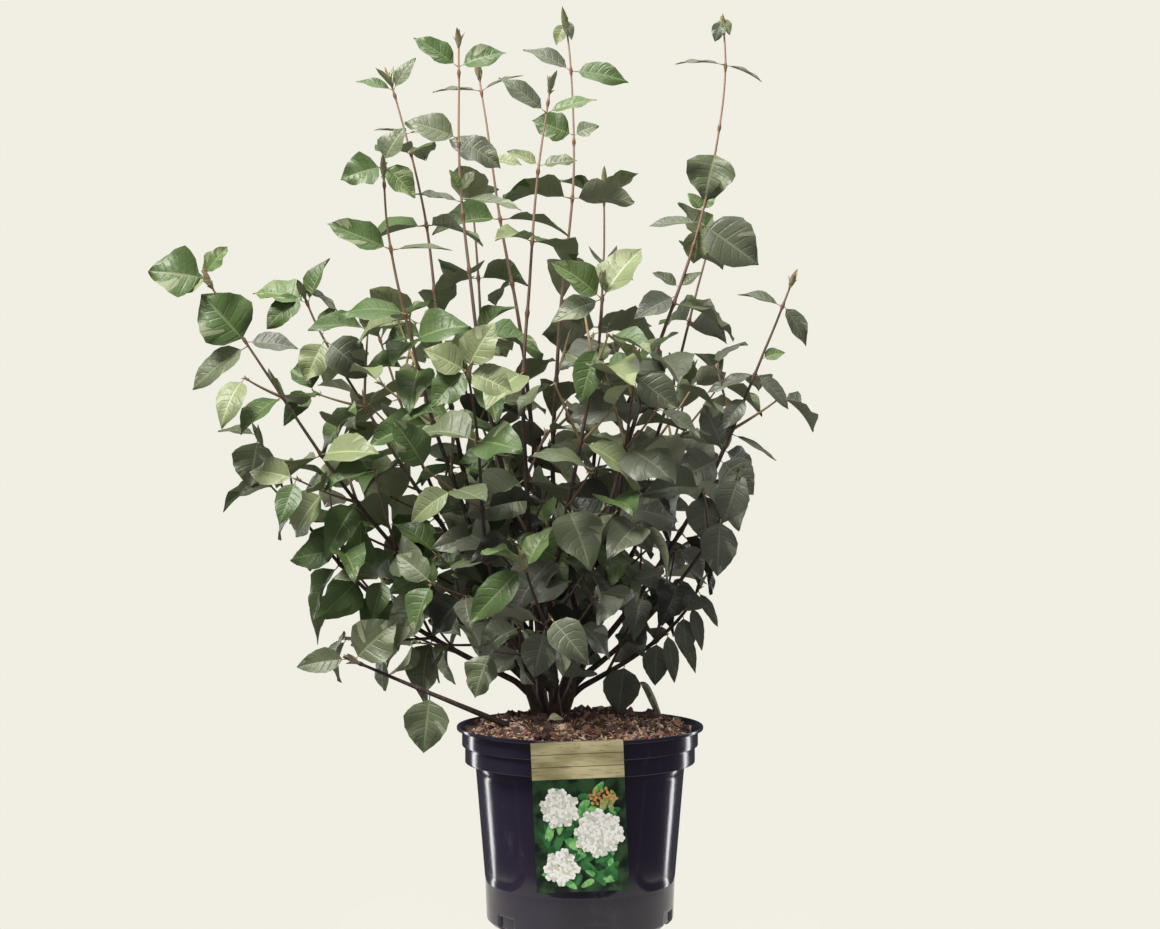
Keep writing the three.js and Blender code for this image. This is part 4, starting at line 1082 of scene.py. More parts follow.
def dress(shoot, notables, lines):
    """Gives a shoot its dressed leaves, and its own and its twigs' bud leaves."""
    rng = np.random.default_rng(shoot.index + 300)
    every = [leaf for rows in notables.values() for leaf in rows]

    def kept(leaves):
        made = [dressed(leaf, rng) for leaf in leaves if within_reach(leaf) and not left_open(leaf, rng)
                and not hides_shoot(leaf, lines, rng)]
        return [leaf for leaf in made if not any(makes_way(leaf, other) for other in every)]

    tip, shown = shoot.path.points[-1], SHOWN.get(shoot.name, 0)
    made = kept([leaf for leaf in shoot.leaves if np.linalg.norm(leaf.root - tip) > shown])
    twigs = []
    # A twig stays only where a leaf at its tip does
    for twig in shoot.twigs:
        leaves, end = kept(twig.leaves), twig.path.points[-1]
        if any(np.linalg.norm(leaf.root - end) < TWIG.tip_play for leaf in leaves):
            twigs.append(twig)
            made += leaves
    shoot.twigs = twigs
    shoot.dressed = made + notables.get(shoot.name, [])
    shoot.buds = bud_at(shoot.path, shoot.tip_turn - 90, rng, SHOOT.bud)
    for twig in twigs:
        shoot.buds += bud_at(twig.path, twig.turn, rng, TWIG.bud)


# Each tone has a material for a leaf's upper side, its midrib and its underside
TONE_PARTS = 3
BUD_TONES = {FRESH: 0.15, PALE: 0.2, MID: 0.2, BUD: 0.45}
TONE_RULE = Named(
    right_x=60, fresh=0.4, fresh_right=0.15, shade_foot=250, shade_top=600, shade_reach=130, shade=0.17,
    level=4.8, level_height=300, per_height=200, per_left=75, per_right=500, low_height=430, per_low=160,
    pale_below=3.6, pale_height=480, pale=0.32, bright_height=520)


def tone_of(leaf, spray_shift, rng):
    """The tone of a leaf: fresh at the tips, deeper lower down and to the right; that deepening, away from
    the key lamp at the upper left, is partly painted shade, and the lighter tones to the left partly painted
    light.
    """
    if hasattr(leaf, "tone"):
        return leaf.tone
    rule = TONE_RULE
    x, _, height = leaf.root
    to_left = x < rule.right_x
    if leaf.young and rng.random() < (rule.fresh if to_left else rule.fresh_right):
        return FRESH
    # Near-black SHADE leaves inside the crown are painted shade
    inside = rule.shade_foot < height < rule.shade_top and abs(x) < rule.shade_reach
    if inside and rng.random() < rule.shade:
        return SHADE
    # The level deepens downwards and to the right, away from the key lamp, and lightens to the left: partly
    # painted light and shade
    level = rule.level - (height - rule.level_height) / rule.per_height
    level += min(x, 0) / rule.per_left
    level += max(x, 0) / rule.per_right
    level += spray_shift
    level += rng.normal(0, 1.0)
    level += max(rule.low_height - height, 0) / rule.per_low
    high = height > rule.pale_height
    # Pale leaves high up to the left, on the lit side, are partly a painted sheen
    if level < rule.pale_below and to_left and high and rng.random() < rule.pale:
        return PALE
    # Only leaves to the left or high up, where the key lamp falls, may take the bright tone: partly painted
    # light
    brightest = BRIGHT if to_left or height > rule.bright_height else MID
    return int(clamped(round(level), brightest, DUSKY))


def spray_leaves(shoot, materials):
    """The leaves of one spray as a piece."""
    leaves, buds = shoot.dressed, shoot.buds
    rng = np.random.default_rng(shoot.index + 500)
    shift = rng.uniform(-0.5, 0.5)
    shape = Shape()
    tones = [TONE_PARTS * tone_of(leaf, shift, rng) for leaf in leaves]
    add_leaves(shape, leaves, tones, shoot.index + 700)
    tones = TONE_PARTS * rng.choice(list(BUD_TONES), len(buds), p=list(BUD_TONES.values()))
    add_leaves(shape, buds, tones, shoot.index + 800)
    _, across, _, _ = leaf_template()
    rim = np.abs(across) == 1
    rim[[0, -1]] = True
    piece = shape.build("leaves_" + shoot.name, materials, rim=np.tile(rim, shape.count // len(rim)))
    placed(piece, "spray_" + shoot.name)


# Wood

# Bark's ridges: how many go round the limb, and how high they stand against each other
RIDGES = ((3, 0.5), (5, 0.6), (7, 0.45), (11, 0.35))
SHOOT_BARK, TWIG_BARK, STALK_SKIN, NODE_BARK = range(4)


def bark_relief(lengths, sides, depth, seed):
    """Bark as heights on the rings: sines of the angle, whose phase wanders and which fade along the limb."""
    rng = np.random.default_rng(seed)
    angle = ring_angles(sides)
    wander = 0.9 * np.sin(lengths / 31 + rng.uniform(0, 6)) + 0.5 * np.sin(lengths / 11 + rng.uniform(0, 6))
    total = np.zeros((len(lengths), sides))
    for ridges, part in RIDGES:
        phase = rng.uniform(0, 6.3)
        fade = 0.6 + 0.4 * np.sin(lengths / rng.uniform(5, 19) + rng.uniform(0, 6))
        total += part * fade[:, None] * np.sin(ridges * angle + phase + wander[:, None])
    return total * depth


def swelling(distances, places, size, spread):
    """A thickening round each of the places along a limb."""
    gaps = (distances[:, None] - np.asarray(places)[None, :]) / spread
    return size * np.exp(-gaps ** 2).sum(axis=1)


def faded(distances, total, reach):
    """1 along a limb, falling to 0 within a reach of either end."""
    return np.clip(distances / reach, 0, 1) * np.clip((total - distances) / reach, 0, 1)


def add_twig(shape, twig, number):
    """A twig: a bent line that tapers and ends in a small swelling."""
    ends = twig.path.points
    t = np.linspace(0, 1, TWIG.rings)[:, None]
    bend = ends[1] + (ends[1] - (ends[0] + ends[2]) / 2) * 0.6 - UP * 2
    curve = arc(twig.root, bend, ends[2], t)
    share = t[:, 0]
    radius = np.linspace(TWIG.radius, TWIG.tip_radius, TWIG.rings)
    radius = radius + 0.5 * np.exp(-((share - 1) / 0.05) ** 2)
    relief = bark_relief(share * 60, TWIG.sides, 0.1, number + 60)
    add_tube(shape, curve, radius, TWIG.sides, TWIG_BARK, relief)


def shoot_wood(shoot, materials):
    """A shoot's axis, its twigs and its leaf stalks as one piece.

    The axis is a tube that sways by sine and cosine, with a bell-shaped swelling at each node.
    """
    shape = Shape()
    path = shoot.path
    distances = np.linspace(0, path.total, int(path.total / SHOOT.step))
    points = points_at(path, distances)
    # The elbow where a shoot leaves its stem is eased into a bend
    for _ in range(3):
        points[1:-1] = (points[:-2] + 2 * points[1:-1] + points[2:]) / 4
    slimmer = np.clip(1.0 - distances / SHOOT.slimmer_over, SHOOT.slimmest, 1.0)
    radii = shoot_radius(distances / path.total) * slimmer
    places = [node.distance for node in shoot.nodes]
    radii = radii + swelling(distances, places, SHOOT.swelling, SHOOT.swelling_reach)
    phase = shoot.index * 1.7
    sway = np.stack([np.sin(distances / 37 + phase), np.cos(distances / 43 + phase * 2), 0 * distances], -1)
    points = points + sway * (SHOOT.sway * faded(distances, path.total, SHOOT.fade))[:, None]
    relief = bark_relief(distances, SHOOT.sides, 0.16, shoot.index + 40)
    gaps = np.abs(distances[:-1, None] + SHOOT.band_shift - np.asarray(places)[None, :]).min(axis=1)
    bands = np.where(gaps < SHOOT.band, NODE_BARK, SHOOT_BARK)
    add_tube(shape, points, radii, SHOOT.sides, SHOOT_BARK, relief, bands)
    for number, twig in enumerate(shoot.twigs):
        add_twig(shape, twig, number)
    add_stalks(shape, shoot.dressed, STALK_SKIN)
    placed(shape.build("wood_" + shoot.name, materials), "bough_" + shoot.name)


def stem_wood(name, index, materials):
    """A main stem, sunk a little into the soil and narrowed at its fork.

    Its radius falls evenly with height, times a flare that dies away exponentially from the foot.
    """
    path = stem_path(name)
    foot, top = path.points
    steps = np.linspace(-STEM.sunk, path.total + 3, int(path.total / STEM.step))
    points = foot + unit(top - foot) * steps[:, None]
    sway = np.stack([np.sin(steps / 23 + index), np.cos(steps / 29 + index * 2), 0 * steps], -1)
    points = points + sway * (STEM.sway * np.clip(steps / STEM.fade, 0, 1)
                              * np.clip((path.total - steps) / STEM.fade, 0, 1))[:, None]
    share = np.clip(steps / path.total, 0, 1)
    flare = 1 + (STEM.flare - 1) * np.exp(-np.clip(steps, 0, None) / STEM.flare_height)
    radii = stem_radius(share) * flare
    radii = radii * np.where(steps > path.total - 2, 0.82, 1)
    shape = Shape()
    add_tube(shape, points, radii, STEM.sides, 0, bark_relief(steps, STEM.sides, 0.42, index + 20))
    placed(shape.build("bark_" + name, materials), "stem_" + name)


# Pot

CORNER_STEPS = (0.0, 0.25, 0.5, 0.75, 1.0)
PROFILE_STEP = 3.0
# How much of the shorter neighbour a rounded corner may take
CORNER_SHARE = 0.45
MAP_TURN = 0.12


def rounded(profile, size):
    """A profile with every inner corner rounded by a short curve."""
    points = np.array(profile, float)
    made = [points[0]]
    for before, here, after in zip(points[:-2], points[1:-1], points[2:]):
        back, ahead = before - here, after - here
        reach = min(size, np.linalg.norm(back) * CORNER_SHARE, np.linalg.norm(ahead) * CORNER_SHARE)
        start, end = here + unit(back) * reach, here + unit(ahead) * reach
        for t in CORNER_STEPS:
            made.append(arc(start, here, end, t))
    made.append(points[-1])
    return np.array(made)


def filled(profile, step):
    """A profile with further points so that none are more than a step apart."""
    made = [profile[:1]]
    for before, after in zip(profile[:-1], profile[1:]):
        count = max(ceil(np.linalg.norm(after - before) / step), 1)
        made.append(before + (after - before) * (np.arange(1, count + 1) / count)[:, None])
    return np.concatenate(made)


def smooth_step(value, low, high):
    """A soft step from 0 to 1 between two values."""
    t = np.clip((value - low) / (high - low), 0, 1)
    return t * t * (3 - 2 * t)


def turned(shape, profile, segments, push):
    """A turned surface: each point is (radius cos a, radius sin a, height), moved by push(radius, a, z).

    The profile starts and ends on the axis, and its ends are closed by fans.
    """
    radius, height = profile[1:-1, 0][:, None], profile[1:-1, 1][:, None]
    radius, height, turn = np.broadcast_arrays(radius, height, ring_angles(segments)[None, :])
    radius = push(radius, turn, height)
    points = np.stack([radius * np.cos(turn), radius * np.sin(turn), height], -1)
    uv = paired(turn * MAP_TURN, height * MM)
    shape.add_closed(points, [(0, 0, profile[0, 1]), (0, 0, profile[-1, 1])], uv=uv)


def offset_in(turn, parts, shift=0.0):
    """The angle from the middle of the nearest of equal parts; the first faces the viewer."""
    step = 2 * pi / parts
    return (turn + pi / 2 - shift + step / 2) % step - step / 2


def panel_mask(turn, height):
    """1 inside a panel and 0 outside: a soft step over the distance to its edge.

    The edge is straight at the sides and top, and a quarter circle at both lower corners.
    """
    widening = (POT.body_top - POT.band) * (height - POT.band_top)
    radius = POT.band + widening / (POT.step_foot - POT.band_top)
    x = np.abs(np.sin(offset_in(turn, PANELS.count)) * radius)
    curve = PANELS.round
    out_x = np.clip(x - (PANELS.width / 2 - curve), 0, None)
    out_z = np.clip(PANELS.bottom + curve - height, 0, None)
    corner = np.hypot(out_x, out_z) - curve
    edge = np.maximum(corner, x - PANELS.width / 2)
    edge = np.where(out_z > 0, corner, edge)
    edge = np.maximum(edge, height - PANELS.top)
    return 1 - smooth_step(edge, -PANELS.inner, PANELS.outer)


def pot_push(radius, turn, height, outside):
    """Sinks the panels and the drain channels into the outer wall."""
    outside = outside[:, None] * np.ones_like(radius)
    radius = radius - outside * PANELS.depth * panel_mask(turn, height)
    x = np.abs(np.sin(offset_in(turn, DRAINS.count, DRAINS.turn * DEGREE)) * radius)
    half, top = DRAINS.width / 2, DRAINS.height
    channel = 1 - smooth_step(x, half - DRAINS.inner, half + DRAINS.outer)
    channel = channel * (1 - smooth_step(height, top - DRAINS.fall, top + DRAINS.outer))
    return radius - outside * channel * DRAINS.depth * (radius > POT.foot - DRAINS.reach)


def make_pot(settings, materials):
    """The pot: one profile up the outside and down the inside, turned, with panels and drains sunk in."""
    wall = POT.wall
    outer = [
        (0, 0), (POT.foot - POT.bevel, 0), (POT.foot, POT.bevel),
        (POT.band, POT.band_top),
        (POT.body_top, POT.step_foot), (POT.step, POT.step_foot),
        (POT.step, POT.collar_foot), (POT.collar, POT.collar_foot),
        (POT.collar, POT.lip_foot), (POT.lip, POT.lip_foot), (POT.lip, POT.height),
    ]
    inner = [
        (POT.flare, POT.height), (POT.collar - wall, POT.flare_foot),
        (POT.collar - wall, POT.collar_foot + wall), (POT.step - wall, POT.collar_foot + wall),
        (POT.step - wall, POT.step_foot + wall), (POT.body_top - wall, POT.step_foot + wall),
        (POT.band - wall, POT.band_top), (POT.foot - wall, POT.floor), (0, POT.floor),
    ]
    profile = filled(rounded(outer + inner, settings.rounding / MM), PROFILE_STEP)
    lip_row = int(np.argmax((profile[:, 0] < POT.flare) & (profile[:, 1] > POT.flare_foot + 1)))
    outside = (np.arange(len(profile)) < lip_row).astype(float)[1:-1]
    shape = Shape()
    turned(shape, profile, settings.segments, lambda radius, turn, z: pot_push(radius, turn, z, outside))
    placed(shape.build("pot_shell", materials), "pot")


# Soil

# The soil's side, as radius and height from the top down; it keeps inside the pot's wall
SOIL_SIDE = (
    (130.8, POT.collar_foot + 4), (126.9, POT.collar_foot + 2), (126.9, POT.step_foot + 4),
    (115.4, POT.step_foot + 3), (104.0, POT.band_top), (102.0, POT.floor + 0.5),
)
SOIL_PROFILE = (
    (0, SOIL.top + 0.5), (SOIL.flat, SOIL.top - 1.5), (SOIL.shoulder_radius, SOIL.shoulder),
    (124, SOIL.edge + 2), (131, SOIL.edge - 2),
)
# What lies scattered on the soil: setting, half length, half width, half thickness, tilt and how much of
# the light it takes part in
SCATTER = (
    ("chips", (1.8, 6.0), (0.6, 1.6), (0.3, 0.8), 0.85, 1),
    ("crumbs", (0.7, 1.9), (0.6, 1.5), (0.5, 1.2), 1.5, 1),
    ("clods", (2.6, 6.0), (2.2, 4.6), (1.8, 3.8), 1.2, 0.25),
)
SCATTER_REACH = 127.0
DARK_CHIP, RED_CHIP, TAN_CHIP, GREY_CHIP, FIBRE, DRY_LEAF = range(6)
TUFT = 8
LIGHT_CHIPS = {RED_CHIP: 0.5, TAN_CHIP: 0.36, GREY_CHIP: 0.14}
THREAD = Named(reach=118.0, points=7, length=(7, 24), bend=0.7, radius=(0.2, 0.42))
SCRAP = (-38.0, -14.0)
STRAW = Named(
    place=(85.0, -60.0), blades=70, spread=4.6, lean=2.2, height=(3, 7.5), radii=(0.5, 0.7, 0.6, 0.25))


def bumps(x, y, seed, count, low, high):
    """Uneven ground: waves of random direction and length added up, mostly from -1 to 1."""
    rng = np.random.default_rng(seed)
    total = np.zeros_like(x)
    for _ in range(count):
        wave = rng.uniform(low, high)
        turn = rng.uniform(0, 2 * pi)
        total += np.sin((x * cos(turn) + y * sin(turn)) * 2 * pi / wave + rng.uniform(0, 6.3))
    return total / sqrt(count) / 1.6


def soil_height(x, y):
    """Height of the soil: a low mound that falls to the wall, with fine bumps all over."""
    base = np.interp(np.hypot(x, y), *zip(*SOIL_PROFILE))
    rough = 1.1 * bumps(x, y, 3, 14, 18, 46) + 0.8 * bumps(x, y, 4, 22, 4.5, 13)
    return base + rough


def make_soil(materials):
    """The soil's body: a polar grid for the top, and a side and underside that close it."""
    radii = SOIL.edge_radius * np.linspace(0, 1, SOIL.rings + 1)[1:] ** 0.85
    angle = ring_angles(SOIL.segments)
    x, y = radii[:, None] * np.cos(angle), radii[:, None] * np.sin(angle)
    top = np.stack([x, y, soil_height(x, y)], -1)[::-1]
    walls = np.array([[(r * cos(a), r * sin(a), z) for a in angle] for r, z in SOIL_SIDE])[::-1]
    points = np.concatenate([walls, top])
    centre = np.array([0.0])
    ends = [(0, 0, SOIL_SIDE[-1][1]), (0, 0, float(soil_height(centre, centre)[0]))]
    shape = Shape()
    shape.add_closed(points, ends, uv=points[..., :2] * MM)
    placed(shape.build("soil_body", materials), "soil")


def scattered(rng, count, reach):
    """Random places on the soil, even over its area."""
    radius = reach * np.sqrt(rng.random(count))
    turn = 2 * pi * rng.random(count)
    return radius * np.cos(turn), radius * np.sin(turn)


def turned_axes(rng, count, tilt):
    """Random right-handed axes whose third one leans off the vertical by up to a tilt."""
    spin = 2 * pi * rng.random(count)
    lean = tilt * np.sqrt(rng.random(count))
    way = 2 * pi * rng.random(count)
    third = np.stack([np.sin(lean) * np.cos(way), np.sin(lean) * np.sin(way), np.cos(lean)], -1)
    first = np.stack([np.cos(spin), np.sin(spin), np.zeros(count)], -1)
    first = units(first - third * (first * third).sum(1)[:, None])
    return first, np.cross(third, first), third


def add_scatter(shape, settings, rng):
    """Chips, crumbs and clods: corners (+-1, +-1, +-1) times a size and a random shift, on random axes."""
    box = np.array([(i, j, k) for k in (-1, 1) for j in (-1, 1) for i in (-1, 1)], float)
    faces = [(0, 2, 3, 1), (4, 5, 7, 6), (0, 1, 5, 4), (2, 6, 7, 3), (0, 4, 6, 2), (1, 3, 7, 5)]
    for name, *sizes, tilt, part in SCATTER:
        count = getattr(settings, name)
        x, y = scattered(rng, count, SCATTER_REACH)
        size = np.stack([rng.uniform(*limits, count) for limits in sizes], -1)
        first, second, third = turned_axes(rng, count, tilt)
        local = box[None] * size[:, None] * (1 + rng.uniform(-0.35, 0.35, (count, 8, 3)))
        centre = np.stack([x, y, soil_height(x, y) + size[:, 2] * 0.5], -1)
        axes = [axis[:, None] for axis in (first, second, third)]
        points = moved(centre[:, None], *zip(axes, np.moveaxis(local, -1, 0)))
        # The front is lighter and redder than the back, in patches
        light = part * np.clip(0.5 - y / 150 + 0.5 * bumps(x, y, 7, 9, 26, 60), 0.1, 0.92)
        drawn = rng.random(count)
        sorts = rng.choice(list(LIGHT_CHIPS), count, p=list(LIGHT_CHIPS.values()))
        uv = np.broadcast_to(box[:, :2] * 0.5 + 0.5, (8, 2))
        shape.add_copies(points, (faces,), (np.where(drawn < light, sorts, DARK_CHIP),), uv)


def add_fibres(shape, settings, rng):
    """Fibres: thin bent threads that lie on the soil."""
    t = np.linspace(-0.5, 0.5, THREAD.points)
    for _ in range(settings.fibres):
        x, y = scattered(rng, 1, THREAD.reach)
        turn = rng.uniform(0, 2 * pi)
        length, bend = rng.uniform(*THREAD.length), rng.uniform(-THREAD.bend, THREAD.bend)
        px = x + t * length * cos(turn) - bend * length * t ** 2 * sin(turn)
        py = y + t * length * sin(turn) + bend * length * t ** 2 * cos(turn)
        points = np.stack([px, py, soil_height(px, py) + 0.7 + rng.uniform(0, 1.2)], -1)
        add_tube(shape, points, np.full(THREAD.points, rng.uniform(*THREAD.radius)), 4, FIBRE)


def add_scrap(shape):
    """A small dry leaf."""
    x, y = SCRAP
    scrap = Named(root=np.array([x, y, soil_height(x, y) + 3.2]), along=unit(np.array([1.0, -0.1, 0.22])),
                  normal=unit(np.array([-0.2, -0.5, 1.0])), length=24.0, width=13.0, droop=0.3, fold=0.5)
    add_leaves(shape, [scrap], [DRY_LEAF], 31)


def add_tuft(shape, rng):
    """A straw-coloured tuft of fine upright blades."""
    t = np.linspace(0, 1, len(STRAW.radii))[:, None]
    for _ in range(STRAW.blades):
        foot = np.array(STRAW.place) + rng.normal(0, STRAW.spread, 2)
        flat = foot + rng.normal(0, STRAW.lean, 2) * t ** 1.5
        rise = soil_height(flat[:, :1], flat[:, 1:]) + rng.uniform(*STRAW.height) * t - 0.4
        add_tube(shape, np.concatenate([flat, rise], -1), np.array(STRAW.radii), 3, TUFT)


def make_crumbs(settings, materials):
    """Bark chips, crumbs, clods, fibres, a dry leaf scrap and a tuft on the soil."""
    rng = np.random.default_rng(21)
    shape = Shape()
    add_scatter(shape, settings, rng)
    add_fibres(shape, settings, rng)
    add_scrap(shape)
    add_tuft(shape, rng)
    placed(shape.build("soil_crumbs", materials, smooth=False), "soil")


# Label

# The card's materials in order
(CARD_GROUND, CARD_BOARDS, CARD_LEAF, CARD_DARK_LEAF, CARD_PETAL, CARD_EYE, CARD_EDGE, CARD_BUD, CARD_TONGUE,
 CARD_SHADED_PETAL) = range(10)
# Heads of blossoms, from the strip or the foot: middle, reach and number of blossoms
HEADS = ((-22, "strip", 24, 19, 30), (20, "strip", 52, 24, 44), (-22, "foot", -21, 17, 24))
CARD_BUDS = Named(count=26, reach=13, x=26, down=14, length=4.6, width=3.4)


def card_face():
    """How far the card's back stands before the middle of the pot, measured along -Y."""
    return -(POT.lip * cos(pi / POT.facets) + LABEL.clear)


def card_axes():
    """The middle of the card's top edge, and its right, down and outward directions."""
    lean, tilt = LABEL.lean * DEGREE, -LABEL.tilt * DEGREE
    about_x = np.array([[1, 0, 0], [0, cos(lean), -sin(lean)], [0, sin(lean), cos(lean)]])
    about_y = np.array([[cos(tilt), 0, sin(tilt)], [0, 1, 0], [-sin(tilt), 0, cos(tilt)]])
    turn = about_x @ about_y
    origin = np.array([LABEL.x, card_face(), LABEL.top])
    return origin, turn @ RIGHT, turn @ -UP, turn @ np.array([0, -1.0, 0])


def on_card(across, down, out):
    """Points of the card: across from its middle, down from its top and out from its face."""
    origin, right, below, outward = card_axes()
    across, down, out = np.broadcast_arrays(across, down, out)
    return moved(origin, (right, across), (below, down), (outward, out + LABEL.thick))


def add_slab(shape, left, right, top, bottom, back, front, kind, edge_kind):
    """A flat slab in the card's plane: a front face, and sides and a back that close it."""
    u = np.array([left, right, right, left])
    v = np.array([bottom, bottom, top, top])
    points = np.concatenate([on_card(u, v, np.full(4, back)), on_card(u, v, np.full(4, front))])
    uv = np.stack([u, v], -1) * MM
    start = shape.add(points, [(4, 5, 6, 7)], kind, np.concatenate([uv, uv]))
    sides = [(3, 2, 1, 0), (0, 1, 5, 4), (1, 2, 6, 5), (2, 3, 7, 6), (3, 0, 4, 7)]
    shape.add_faces(sides, start, edge_kind)


def add_flat_oval(shape, at, turn, length, width, lift, kind, point):
    """A slightly domed oval on the card: (1 - cos t) / 2 along it and sin t across, narrowed to a point."""
    t = np.linspace(0, pi, 6)[1:-1]
    along = np.concatenate([[0], (1 - np.cos(t)) / 2, [1], ((1 - np.cos(t)) / 2)[::-1]])
    half = np.sin(t) * (1 - point * (1 - np.cos(t)) / 2)
    side = np.concatenate([[0], half, [0], -half[::-1]])
    u = at[0] + np.cos(turn) * along * length - np.sin(turn) * side * width / 2
    v = at[1] - np.sin(turn) * along * length - np.cos(turn) * side * width / 2
    x, down = at[0] + cos(turn) * length * 0.5, at[1] - sin(turn) * length * 0.5
    middle = on_card(x, down, lift + 0.14)
    rim = on_card(u, v, lift)
    ring = np.arange(len(u))
    shape.add(np.concatenate([rim, middle[None]]), fan_faces(len(u), ring, True), kind,
              np.stack([np.append(along, 0.5), np.append(side, 0)], -1))


def add_blossom(shape, at, size, rng, lift):
    """A five-petalled blossom with a cream eye."""
    start = rng.uniform(0, 2 * pi)
    for petal in range(5):
        turn = start + petal * 2 * pi / 5
        kind = CARD_PETAL if rng.random() < 0.66 else CARD_SHADED_PETAL
        add_flat_oval(shape, at, turn, size, size * 0.72, lift + 0.03 * petal, kind, -0.5)
    for speck in range(3):
        turn = start + speck * 2 * pi / 3
        add_flat_oval(shape, at, turn, size * 0.2, size * 0.16, lift + 0.3, CARD_EYE, 0)


def add_tongue(shape):
    """The tongue: one bent strip from the card's back over the pot's lip."""
    face, thick = card_face(), LABEL.thick
    top = LABEL.top + (POT.height + TONGUE.over - LABEL.top + thick)
    foot, inside, low = LABEL.top - TONGUE.foot, face + TONGUE.reach, top - TONGUE.drop
    route = [(face, foot), (face - thick, foot), (face - thick, top), (inside, top), (inside, low),
             (inside - thick, low), (inside - thick, top - thick), (face, top - thick)]
    x, width = LABEL.x, TONGUE.width
    strip = np.array([(x + s * width / 2, y, z) for s in (-1, 1) for y, z in route])
    start = shape.add(strip, grid_faces(2, len(route)), CARD_TONGUE)
    shape.add_faces([(0, 1, 2, 7), (2, 3, 6, 7), (3, 4, 5, 6)], start, CARD_TONGUE)
    shape.add_faces([(15, 10, 9, 8), (15, 14, 11, 10), (14, 13, 12, 11)], start, CARD_TONGUE)


def add_card_leaves(shape, tries, half, low, high, rng):
    """Leaves all over the card's field, each only where its tip stays on the card."""
    for number in range(tries):
        at = (rng.uniform(-half + 11, half - 11), rng.uniform(low + 6, high - 6))
        turn = rng.uniform(0, 2 * pi)
        length = rng.uniform(15, 25)
        end = (at[0] + cos(turn) * length, at[1] - sin(turn) * length)
        if abs(end[0]) > half - 2 or not low - 4 < end[1] < high + 3:
            continue
        kind = (CARD_LEAF, CARD_DARK_LEAF)[number % 2]
        add_flat_oval(shape, at, turn, length, length * 0.55, 0.06 + LABEL.layer * (number % 9), kind, 0.45)


def in_head(x, y, reach, count):
    """Places evenly over a round head, each with its number and turn."""
    for k in range(count):
        spread, turn = reach * sqrt((k + 0.5) / count), k * LABEL.head_turn
        yield k, turn, (x + cos(turn) * spread, y + sin(turn) * spread)


def make_label(settings, materials):
    """The card: a board strip along its top, and a made-up pattern of blossoms and leaves."""
    rng = np.random.default_rng(31)
    shape = Shape()
    half, height, thick = LABEL.width / 2, LABEL.height, LABEL.thick
    strip = height * LABEL.strip_share
    add_slab(shape, -half, half, 0, height, -thick, 0, CARD_GROUND, CARD_EDGE)
    add_slab(shape, -half, half, 0.0, strip, 0.0, LABEL.strip_rise, CARD_BOARDS, CARD_BOARDS)
    add_tongue(shape)
    ends = {"strip": strip + 7, "foot": height - 6}
    # Leaves first, then heads of blossoms over them, then tan buds
    add_card_leaves(shape, settings.card_leaves, half, ends["strip"], ends["foot"], rng)
    for x, end, down, reach, count in HEADS:
        for k, _, at in in_head(x, ends[end] + down, reach, count):
            add_blossom(shape, at, rng.uniform(4.2, 5.6), rng, 0.4 + LABEL.layer * k)
    buds = CARD_BUDS
    for k, turn, at in in_head(buds.x, ends["strip"] + buds.down, buds.reach, buds.count):
        add_flat_oval(shape, at, turn, buds.length, buds.width, 0.5 + LABEL.layer * k, CARD_BUD, 0)
    placed(shape.build("label_card", materials, smooth=False), "label")


# Sprout

SPROUT_ACROSS = np.array([0.75, 0.66, 0.0])
# The sprout's width by its length: shares of both
SPROUT_WIDTHS = ((0, 0.6), (0.35, 1), (0.7, 0.95), (0.92, 0.6), (1, 0.12))


def make_sprout(materials):
    """A strap-shaped leaf: rings of width times cos and depth times sin of the angle along a bent line.

    The rings rise with the size of the cosine, which leaves a channel along the middle.
    """
    route = np.array([SPROUT.foot, SPROUT.knee, SPROUT.bend, SPROUT.tip], float)
    # Its corners are cut three times
    for _ in range(3):
        cut = [route[:1]]
        for before, after in zip(route[:-1], route[1:]):
            cut.append(np.stack([before * 0.75 + after * 0.25, before * 0.25 + after * 0.75]))
        route = np.concatenate(cut + [route[-1:]])
    route[0, 2] -= 3
    tangents = units(np.gradient(route, axis=0))
    across = units(SPROUT_ACROSS - tangents * (tangents @ SPROUT_ACROSS)[:, None])
    out = np.cross(tangents, across)
    share = np.linspace(0, 1, len(route))
    width = SPROUT.width / 2 * np.interp(share, *zip(*SPROUT_WIDTHS))
    turn = ring_angles(SPROUT.sides)
    depth = SPROUT.thick * 0.4
    v = np.cos(turn)
    lift = np.sin(turn) * depth + (np.abs(v) - 0.5) * 1.6
    points = moved(route[:, None], (across[:, None], width[:, None] * v),
                   (out[:, None], lift * np.minimum(width / 3, 1)[:, None]))
    uv = paired(share[:, None], v)
    shape = Shape()
    shape.add_closed(points, route[[0, -1]], uv=uv, inward=True)
    placed(shape.build("sprout_leaf", materials), "sprout")


# Materials

def linear(colour):
    """A display colour of 0 to 255 as linear light."""
    part = np.array(colour, float) / 255
    light = np.where(part <= 0.04045, part / 12.92, ((part + 0.055) / 1.055) ** 2.4)
    return (*light.tolist(), 1.0)


